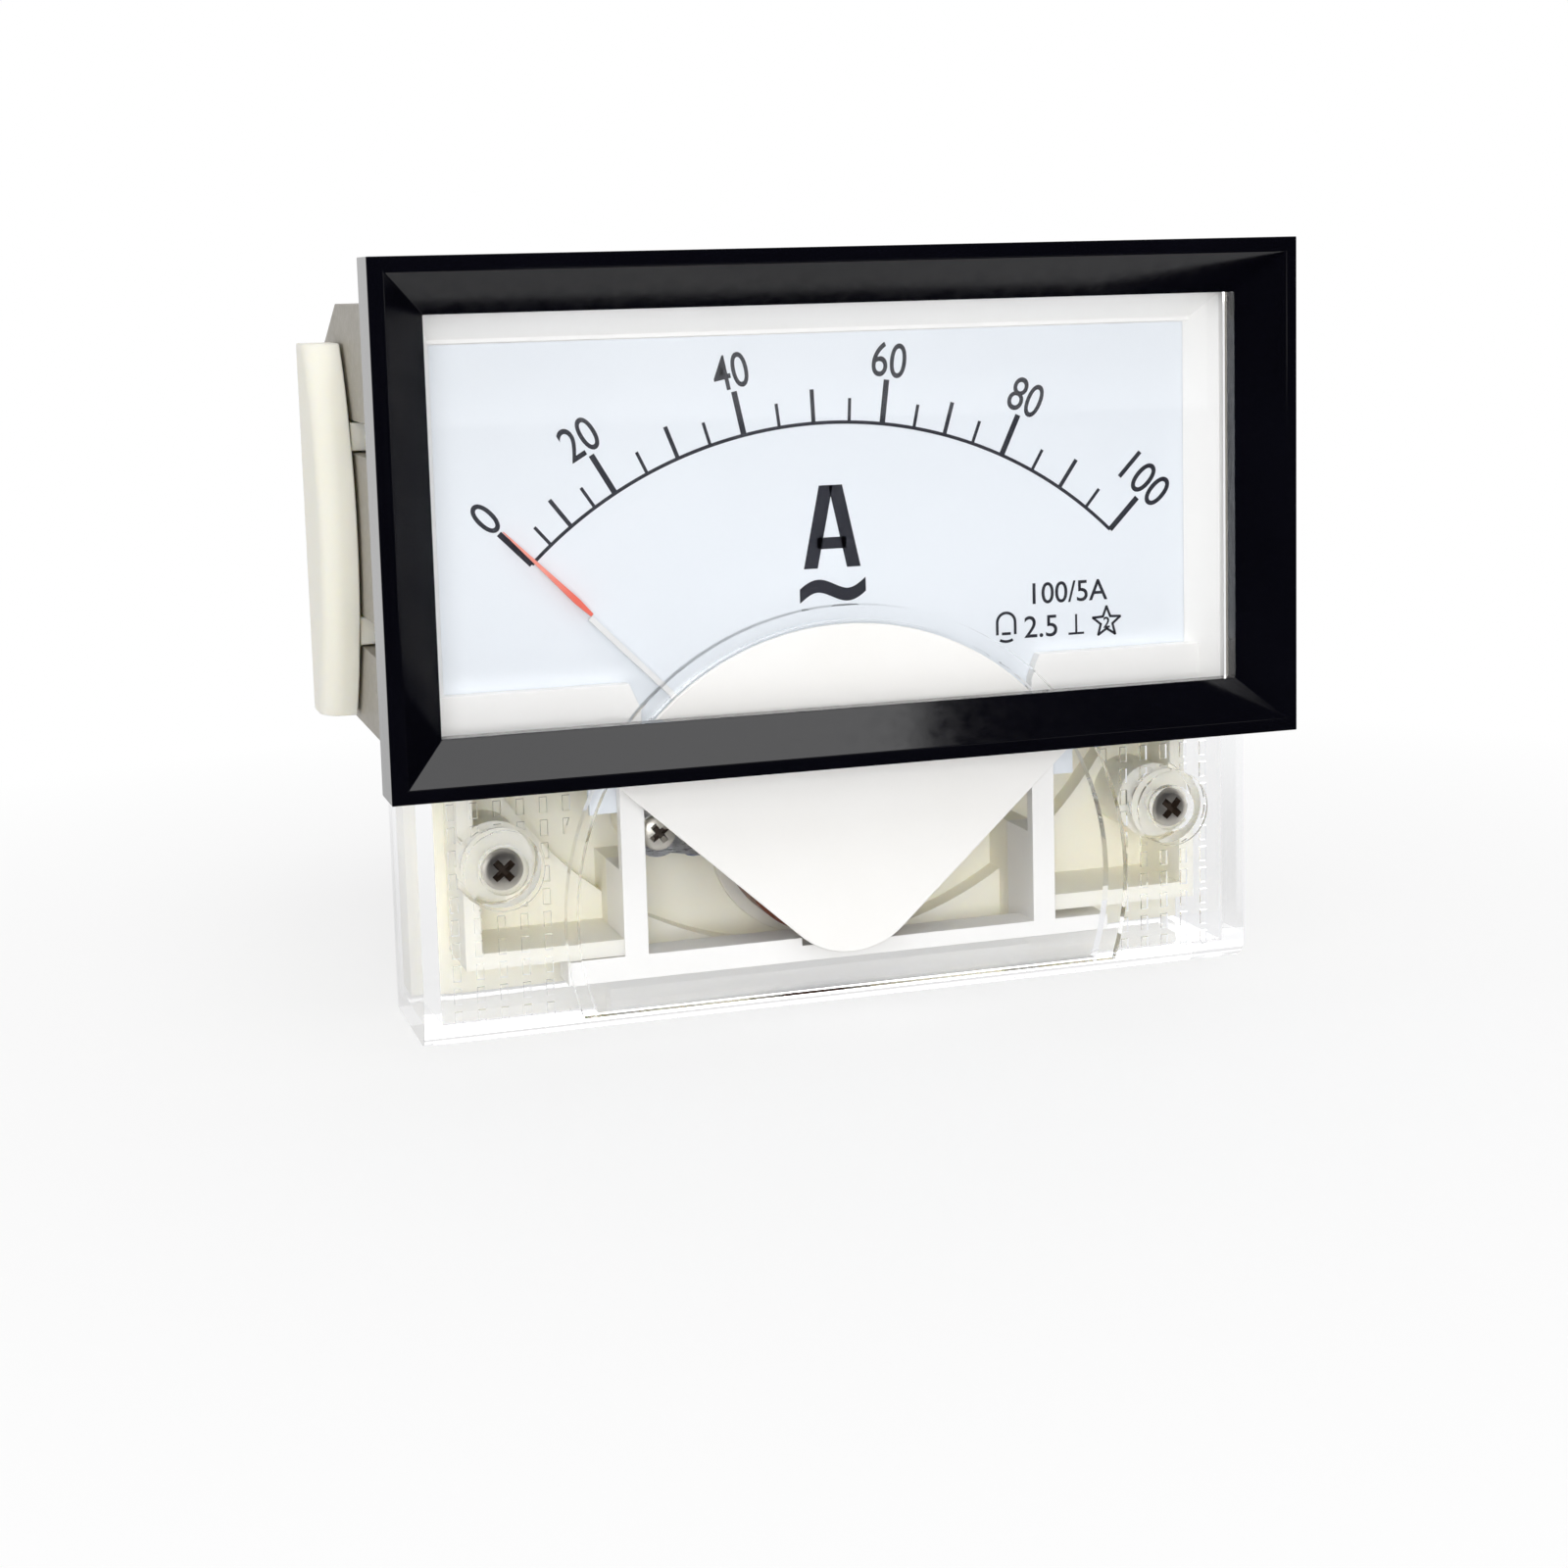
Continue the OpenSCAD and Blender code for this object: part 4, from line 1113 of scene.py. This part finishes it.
@dataclass
class DialFace(SubAssembly):
    """The dial plate and what is printed on it.

    Attributes:
        axis_z: Height of the pointer's axis.
        front: Y of the dial's front.
        ink: Thickness of the print.
        sunk: How deep the print sits in the dial.
        arc_r: Radius of the scale line.
        line: Width of the scale line.
        numeral_r: Radius of the numerals' centres.
        divisions_of: Width and length of every fourth division, every second one and the rest.
        angles: Angle of each division, clockwise from upright.
        numerals: Numeral and angle of each.
        foot: Height of the upright mark's foot.
        upright_x: Place of the upright mark.
        iron_x: Place of the iron-core mark.
        mark_line: Width of the iron-core mark's lines.
        star: X and Z of the star's centre.
        star_r: Radius of the star's tips, and of its notches.
        star_line: Width of the star's lines, and how far each is longer than its edge.
    """

    axis_z: float = AXIS_Z
    front: float = -10.9
    ink: float = 0.02
    sunk: float = 0.002
    arc_r: float = 37.4
    line: float = 0.3
    numeral_r: float = 42.9
    divisions_of: tuple[Pair, ...] = ((0.5, 3.8), (0.36, 2.9), (0.28, 2.05))
    angles: tuple[float, ...] = (
        -44.5, -41.0, -37.5, -33.6, -30.4, -25.5, -21.0, -16.4, -11.7, -6.8, -2.1,
        2.8, 7.4, 11.9, 16.3, 20.5, 25.0, 29.9, 34.6, 39.4, 44.2)
    numerals: tuple[tuple[str, float], ...] = (
        ("0", -44.3), ("20", -30.6), ("40", -11.6), ("60", 7.5), ("80", 25.1), ("100", 43.6))
    foot: float = -11.1
    upright_x: float = 22.7
    iron_x: float = 16.0
    mark_line: float = 0.25
    star: Pair = (25.65, -10.15)
    star_r: Pair = (1.4, 0.6)
    star_line: Pair = (0.22, 0.12)

    @property
    def ink_y(self) -> float:
        """Y of the middle of the print's thickness."""
        return self.front - self.ink / 2 + self.sunk

    def polar(self, radius: float, angle: float) -> Point:
        """Find a place on the dial.

        Args:
            radius: Its distance from the pointer's axis.
            angle: Its angle from upright.

        Returns:
            The place.
        """
        turn = math.radians(angle)
        return (radius * math.sin(turn), self.ink_y, self.axis_z + radius * math.cos(turn))

    def divisions(self) -> list[Piece]:
        """Model the scale's divisions.

        Returns:
            One bar for each division.
        """
        bars = []
        for i, angle in enumerate(self.angles):
            width, length = self.divisions_of[0 if i % 4 == 0 else 1 if i % 2 == 0 else 2]
            bars.append(box_piece("division", self.polar(self.arc_r + length / 2, angle),
                                  (width, self.ink, length), angle))
        return bars

    def band(self, radius: float, width: float) -> Profile:
        """Section of a printed arc.

        Args:
            radius: The arc's radius.
            width: Width of its line.

        Returns:
            A closed ring of points (radius, y).
        """
        near, far = self.ink_y + self.ink / 2, self.ink_y - self.ink / 2
        inner, outer = radius - width / 2, radius + width / 2
        return [(inner, near), (outer, near), (outer, far), (inner, far), (inner, near)]

    def lettering(self) -> list[Piece]:
        """Model the numerals, the unit and the small marks.

        Returns:
            The pieces of lettering.
        """
        pieces = [printed_text(f"numeral_{text}", text, (1.55 * len(text), self.ink, 3.0),
                               self.polar(self.numeral_r, angle), angle, weight=0.004)
                  for text, angle in self.numerals]
        y = self.ink_y
        pieces += [
            slanted_bar("unit_leg_left", -1.95, -0.42, 1.25, -3.8, 3.34, y, self.ink),
            slanted_bar("unit_leg_right", 1.95, 0.42, 1.25, -3.8, 3.34, y, self.ink),
            box_piece("unit_crossbar", (0, y, -1.65), (2.6, self.ink, 1.0)),
            printed_text("alternating_sign", "~", (6.0, self.ink, 2.0), (0, y, -5.75), weight=0.01),
            printed_text("ratio", "100/5A", (7.2, self.ink, 1.9), (22.15, y, -7.2), weight=0.006),
            printed_text("accuracy", "2.5", (3.15, self.ink, 1.95), (19.3, y, -10.15),
                         weight=0.004),
            printed_text("insulation", "2", (0.62, self.ink, 1.0), (25.65, y, -10.2), weight=0.02),
        ]
        return pieces

    def symbols(self) -> list[Piece]:
        """Model the working-principle, mounting and insulation marks.

        Returns:
            The marks.
        """
        y, ink, x, line = self.ink_y, self.ink, self.iron_x, self.mark_line
        marks = [box_piece("upright_foot", (self.upright_x, y, self.foot + 0.1), (1.5, ink, 0.2)),
                 box_piece("upright_stem", (self.upright_x, y, self.foot + 0.95), (0.2, ink, 1.75)),
                 box_piece("arch_leg", (x - 0.85, y, -10.12), (line, ink, 1.16)),
                 box_piece("arch_leg", (x + 0.85, y, -10.12), (line, ink, 1.16)),
                 box_piece("iron_core", (x, y, -10.6), (0.85, ink, line)),
                 turned("arch", self.band(0.85, line), x, -9.6, 24, 180, -90),
                 turned("arch_base", self.band(1.3, line), x, -10.0, 24, 56, 152)]
        corners = []
        for i in range(10):
            turn, radius = math.radians(36 * i), self.star_r[i % 2]
            corners.append(Vector((self.star[0] + radius * math.sin(turn), y,
                                   self.star[1] + radius * math.cos(turn))))
        for i, corner in enumerate(corners):
            along = corners[(i + 1) % 10] - corner
            middle = corner + along / 2
            marks.append(box_piece("star_edge", middle[:],
                                   (self.star_line[0], ink, along.length + self.star_line[1]),
                                   math.degrees(math.atan2(along.x, along.z))))
        return marks

    def build(self) -> None:
        """Build the plate and its print."""
        self.refine("dial_plate", 0.04)
        scale = turned("scale_line", self.band(self.arc_r, self.line), 0, self.axis_z, 72,
                       self.angles[-1] - self.angles[0], self.angles[0])
        for name, pieces in (("dial_scale", [scale, *self.divisions()]),
                             ("dial_lettering", self.lettering()),
                             ("dial_symbols", self.symbols())):
            self.finish_piece(join(name, pieces), "dial_ink", "dial_print")
        self.refine("pointer_stops", 0.05)


# ------------ movement


@dataclass
class Movement(SubAssembly):
    """Coil, bridge, bearings, spring and the swinging pointer.

    Attributes:
        axis_z: Height of the pointer's axis.
        wire: Width of one turn of the winding's wire.
        winding: Outer radius, inner radius, front y and back y of the winding.
        ridge: How much lower a turn is at its sides, and a quarter of its width from there.
        crease: Edges of the winding that turn by more than this stay sharp.
        rest_angle: Angle of the pointer at rest, clockwise from upright.
        blade_share: How much of the blade's width is left.
        blade_shift: How far the blade sits beside the stem's middle.
    """

    axis_z: float = AXIS_Z
    wire: float = 0.3
    winding: tuple[float, ...] = (8.2, 5.9, -7.5, -2.5)
    ridge: Pair = (0.1, 0.02)
    crease: float = 60
    rest_angle: float = -44.5
    blade_share: float = 0.6
    blade_shift: float = 0.28

    def wound_coil(self) -> Piece:
        """Model the winding with one ridge for each turn.

        Returns:
            The winding.
        """
        outer, inner, front, back = self.winding
        turns = round((back - front) / self.wire)
        pitch, side, flank = (back - front) / turns, outer - self.ridge[0], outer - self.ridge[1]
        points = [(inner, front)]
        for y in (front + i * pitch for i in range(turns)):
            points += [(side, y), (flank, y + pitch * 0.25), (outer, y + pitch * 0.5),
                       (flank, y + pitch * 0.75)]
        points += [(side, back), (inner, back), (inner, front)]
        coil = turned("wound_coil", points, 0, self.axis_z, steps=96)
        smooth(coil, self.crease)
        return coil

    def slim_blade(self, piece: Piece) -> None:
        """Make the knife blade narrower, and set it to the side of the stem where it is welded.

        Args:
            piece: The blade.
        """
        lean = math.radians(self.rest_angle)
        piece.location = (0, 0, -self.axis_z * MM)
        settle(piece)
        piece.rotation_euler = (0, -lean, 0)
        settle(piece)
        with editing(piece, "VERT"):
            bpy.ops.transform.resize(value=(self.blade_share, 1, 1), center_override=(0, 0, 0))
            bpy.ops.transform.translate(value=(self.blade_shift * MM, 0, 0))
        piece.rotation_euler = (0, lean, 0)
        settle(piece)
        piece.location = (0, 0, self.axis_z * MM)
        settle(piece)

    def build(self) -> None:
        """Build the movement's pieces."""
        self.finish_piece(self.wound_coil(), "copper_winding", nodes=["coil_winding"])
        for node, bevel in (("movement_bridge", 0.08), ("coil_bobbin", 0.1),
                            ("front_jewel_screw", 0.05), ("rear_jewel", 0.05),
                            ("fixed_iron", 0.03), ("zero_arm", 0.04), ("control_spring", 0),
                            ("coil_lead_left", 0), ("coil_lead_right", 0)):
            self.refine(node, bevel)
        for node, bevel in (("spindle", 0.03), ("moving_iron", 0.03), ("pointer_stem", 0.03),
                            ("balance_weights", 0.04)):
            self.refine(node, bevel, "pointer")
        self.refine("pointer_blade", 0.03, "pointer", self.slim_blade)


# ------------ terminals


@dataclass
class Terminals(SubAssembly):
    """The two threaded studs with their washers and nuts.

    Attributes:
        pitch_x: Distance between the studs.
        stud_r: Radius over the thread.
        thread: Thread pitch.
        start_y: Where the stud leaves its head.
        end_y: The stud's free end.
        head: Radius, height and chamfer of the head.
        core: Radius at the thread's foot, as a part of the stud's.
        crease: Edges of the stud that turn by more than this stay sharp.
    """

    pitch_x: float = 26
    stud_r: float = 2.0
    thread: float = 0.7
    start_y: float = 34.0
    end_y: float = 48.5
    head: tuple[float, float, float] = (4.0, 2.0, 0.15)
    core: float = 0.85
    crease: float = 30

    def stud(self) -> Piece:
        """Model one stud with its head and thread.

        Returns:
            The stud, on the Y axis.
        """
        core, start, end = self.stud_r * self.core, self.start_y, self.end_y
        head_r, head_h, chamfer = self.head
        low = start - head_h
        threads, y = thread_ridges(core, self.stud_r, start, end - 1.0, self.thread, (0.44, 0.56))
        points = [(0, low), (head_r - chamfer, low), (head_r, low + chamfer),
                  (head_r, start - chamfer), (head_r - chamfer, start), *threads, (core, y),
                  (core, end - 0.25), (core * self.core, end), (0, end)]
        piece = turned("stud", points, 0, 0, steps=40)
        smooth(piece, self.crease)
        return piece

    def build(self) -> None:
        """Build both terminals."""
        stud = self.stud()
        pair = [copy_at(stud, f"stud_{side}", (side * self.pitch_x / 2, 0, 0)) for side in (-1, 1)]
        bpy.data.objects.remove(stud, do_unlink=True)
        self.finish_piece(join("threaded_studs", pair), "brass", nodes=["terminal_studs"])
        for node, bevel in (("terminal_flat_washers", 0.1), ("terminal_spring_washers", 0.06),
                            ("terminal_nuts", 0.2)):
            self.refine(node, bevel)


# ------------ studio


@dataclass
class Studio:
    """Floor, lamps, world and camera.

    Attributes:
        floor_z: Height of the floor.
        lens: Focal length.
        eye: The camera's place.
        yaw: Turn to the right, in radians.
        pitch: Tilt down, in radians.
        roll: Roll, in radians.
        shift: Sensor shift along X and Y.
        floor_lift: Share of plain white in the floor beside the object.
        floor_paint: The floor's own tone.
        floor_fade: Distances at which the floor starts to turn white and is white.
        floor_bent: How much darker the floor in front is for light that glass bends there.
        floor_front: Y at which that dimmer floor starts, and Y at which it is reached.
        backdrop: How far back gloss has to look to meet none and all of the white backdrop.
        room_light: The room's tone as it lights matt surfaces.
        room_gloss: The room's tone as gloss shows it, in front and at the sides.
    """

    floor_z: float = -41.52
    lens: float = 60.616
    eye: Point = (-69.954, -226.321, 21.507)
    yaw: float = 0.31407720
    pitch: float = 0.13768904
    roll: float = -0.02476734
    shift: Pair = (-0.03125, -0.09375)
    floor_lift: float = 0.7
    floor_paint: Point = (0.93, 0.93, 0.935)
    floor_fade: Pair = (50, 150)
    floor_bent: float = 0.6
    floor_front: Pair = (-26, -33)
    backdrop: Pair = (-0.05, 0.25)
    room_light: Point = (0.31, 0.31, 0.315)
    room_gloss: Point = (0.014, 0.014, 0.02)

    def camera(self) -> Piece:
        """Place the camera.

        Returns:
            The camera object.
        """
        level = math.cos(self.pitch)
        forward = Vector((math.sin(self.yaw) * level, math.cos(self.yaw) * level,
                          -math.sin(self.pitch)))
        right = Vector((math.cos(self.yaw), -math.sin(self.yaw), 0))
        up = right.cross(forward)
        x_axis = right * math.cos(self.roll) + up * math.sin(self.roll)
        y_axis = up * math.cos(self.roll) - right * math.sin(self.roll)
        place = Matrix((x_axis, y_axis, -forward)).transposed().to_4x4()
        place.translation = Vector(self.eye) * MM
        deselect_all()
        bpy.ops.object.camera_add()
        camera = bpy.context.object
        camera.name = "meter_camera"
        camera.matrix_world = place
        camera.data.lens = self.lens
        camera.data.sensor_width = 36
        camera.data.shift_x, camera.data.shift_y = self.shift
        camera.data.clip_start = 0.01
        bpy.context.scene.camera = camera
        return camera

    def lamp(self, name: str, at: Point, size: Pair, power: float,
             aim: Point = (0, 0, 0), seen: bool = True) -> Piece:
        """Place one soft lamp.

        Args:
            name: The lamp's name.
            at: Its place.
            size: Its width and height.
            power: Its power in watts.
            aim: The point it faces.
            seen: Whether it shows in reflections.

        Returns:
            The lamp object.
        """
        deselect_all()
        bpy.ops.object.light_add(type="AREA", location=Vector(at) * MM)
        lamp = bpy.context.object
        lamp.name = name
        lamp.data.shape = "RECTANGLE"
        lamp.data.size, lamp.data.size_y = size[0] * MM, size[1] * MM
        lamp.data.energy = power
        lamp.rotation_euler = (Vector(aim) - Vector(at)).to_track_quat("-Z", "Y").to_euler()
        lamp.visible_glossy = seen
        return lamp

    def floor(self) -> Piece:
        """Lay the pale floor, which turns into plain white away from the object.

        It takes the object's shadow. Gloss that looks forward meets the dim room there, not the
        floor.

        Returns:
            The floor.
        """
        deselect_all()
        bpy.ops.mesh.primitive_circle_add(vertices=96, radius=3, fill_type="NGON",
                                          location=(0, 0, self.floor_z * MM))
        floor = settle(bpy.context.object)
        floor.name = "studio_floor"
        material, tree, paint = new_material("studio_floor_white")
        feed(tree, paint, {"Base Color": (*self.floor_paint, 1), "Roughness": 0.9})
        white = add_node(tree, "ShaderNodeEmission")
        dim = add_node(tree, "ShaderNodeEmission", {"Color": (*self.room_gloss, 1)})
        place = add_node(tree, "ShaderNodeTexCoord").outputs["Object"]
        depth = add_node(tree, "ShaderNodeSeparateXYZ", {"Vector": place}).outputs["Y"]
        reach = add_node(tree, "ShaderNodeVectorMath", {0: place}, operation="LENGTH")
        path = add_node(tree, "ShaderNodeLightPath")
        fade = ramp(tree, reach.outputs["Value"], self.floor_fade[0] * MM,
                    self.floor_fade[1] * MM, self.floor_lift)
        share = calculate(tree, "MULTIPLY", fade, self.backdrop_mask(tree, depth))
        ahead = ramp(tree, depth, self.floor_front[0] * MM, self.floor_front[1] * MM)
        bent = calculate(tree, "MULTIPLY_ADD", path.outputs["Is Transmission Ray"],
                         self.floor_bent, path.outputs["Is Glossy Ray"])
        unseen = calculate(tree, "MULTIPLY", ahead, bent)
        bright = layer(tree, share, paint.outputs["BSDF"], white.outputs["Emission"])
        feed(tree, tree.nodes["Material Output"], {
            "Surface": layer(tree, unseen, bright, dim.outputs["Emission"])})
        floor.data.materials.append(material)
        return floor

    def backdrop_mask(self, tree: Tree,
                      depth: Socket) -> Socket:
        """Find where the white backdrop shows: directly, through glass, and in gloss behind.

        Args:
            tree: The node tree to add to.
            depth: How far back the backdrop's point or direction lies.

        Returns:
            1 where the backdrop shows, 0 where the darker room in front does.
        """
        path = add_node(tree, "ShaderNodeLightPath")
        gloss = calculate(tree, "MULTIPLY", ramp(tree, depth, *self.backdrop),
                          path.outputs["Is Glossy Ray"])
        direct = calculate(tree, "MAXIMUM", path.outputs["Is Camera Ray"],
                           path.outputs["Is Transmission Ray"])
        return calculate(tree, "MAXIMUM", direct, gloss)

    def world(self) -> None:
        """Make the surroundings: a white backdrop, and a soft room that lights the object."""
        world = bpy.data.worlds.new("studio_room")
        bpy.context.scene.world = world
        world.use_nodes = True
        tree = world.node_tree
        room = tree.nodes["Background"]
        backdrop = add_node(tree, "ShaderNodeBackground", {"Color": (1, 1, 1, 1)})
        place = add_node(tree, "ShaderNodeTexCoord").outputs["Generated"]
        depth = add_node(tree, "ShaderNodeSeparateXYZ", {"Vector": place}).outputs["Y"]
        path = add_node(tree, "ShaderNodeLightPath")
        feed(tree, room, {"Color": blend(tree, path.outputs["Is Diffuse Ray"],
                                         (*self.room_gloss, 1), (*self.room_light, 1))})
        feed(tree, tree.nodes["World Output"], {
            "Surface": layer(tree, self.backdrop_mask(tree, depth), room.outputs["Background"],
                             backdrop.outputs["Background"])})

    def build(self) -> None:
        """Set up the studio."""
        bpy.context.scene.view_settings.view_transform = "Standard"
        self.world()
        self.floor()
        self.camera()
        self.lamp("overhead_box", (100, -185, 620), (280, 290), 0.58, aim=(100, -185, 0))
        self.lamp("top_fill", (-40, -420, 640), (500, 400), 1.5, seen=False)
        self.lamp("front_fill", (-200, -868, 70), (480, 380), 4.0, seen=False)
        self.lamp("high_fill", (-120, -820, 360), (420, 320), 0.95, seen=False)
        self.lamp("mirror_card", (275, -900, -70), (560, 320), 0.75)
        self.lamp("side_fill", (-700, -150, 60), (500, 400), 0.9, seen=False)
        self.lamp("back_fill", (300, 800, 200), (700, 400), 2.8, seen=False)
        LOG.info("studio ready")


def main() -> None:
    """Build every sub-assembly in order, then the studio."""
    logging.basicConfig(level=logging.INFO, format="%(name)s: %(message)s")
    shop = FinishShop()
    shop.build()
    for assembly in (Housing, DialFace, Movement, Fasteners, Terminals):
        assembly(shop).build()
        LOG.info("%s done", assembly.__name__)
    Studio().build()


if __name__ == "__main__":
    main()
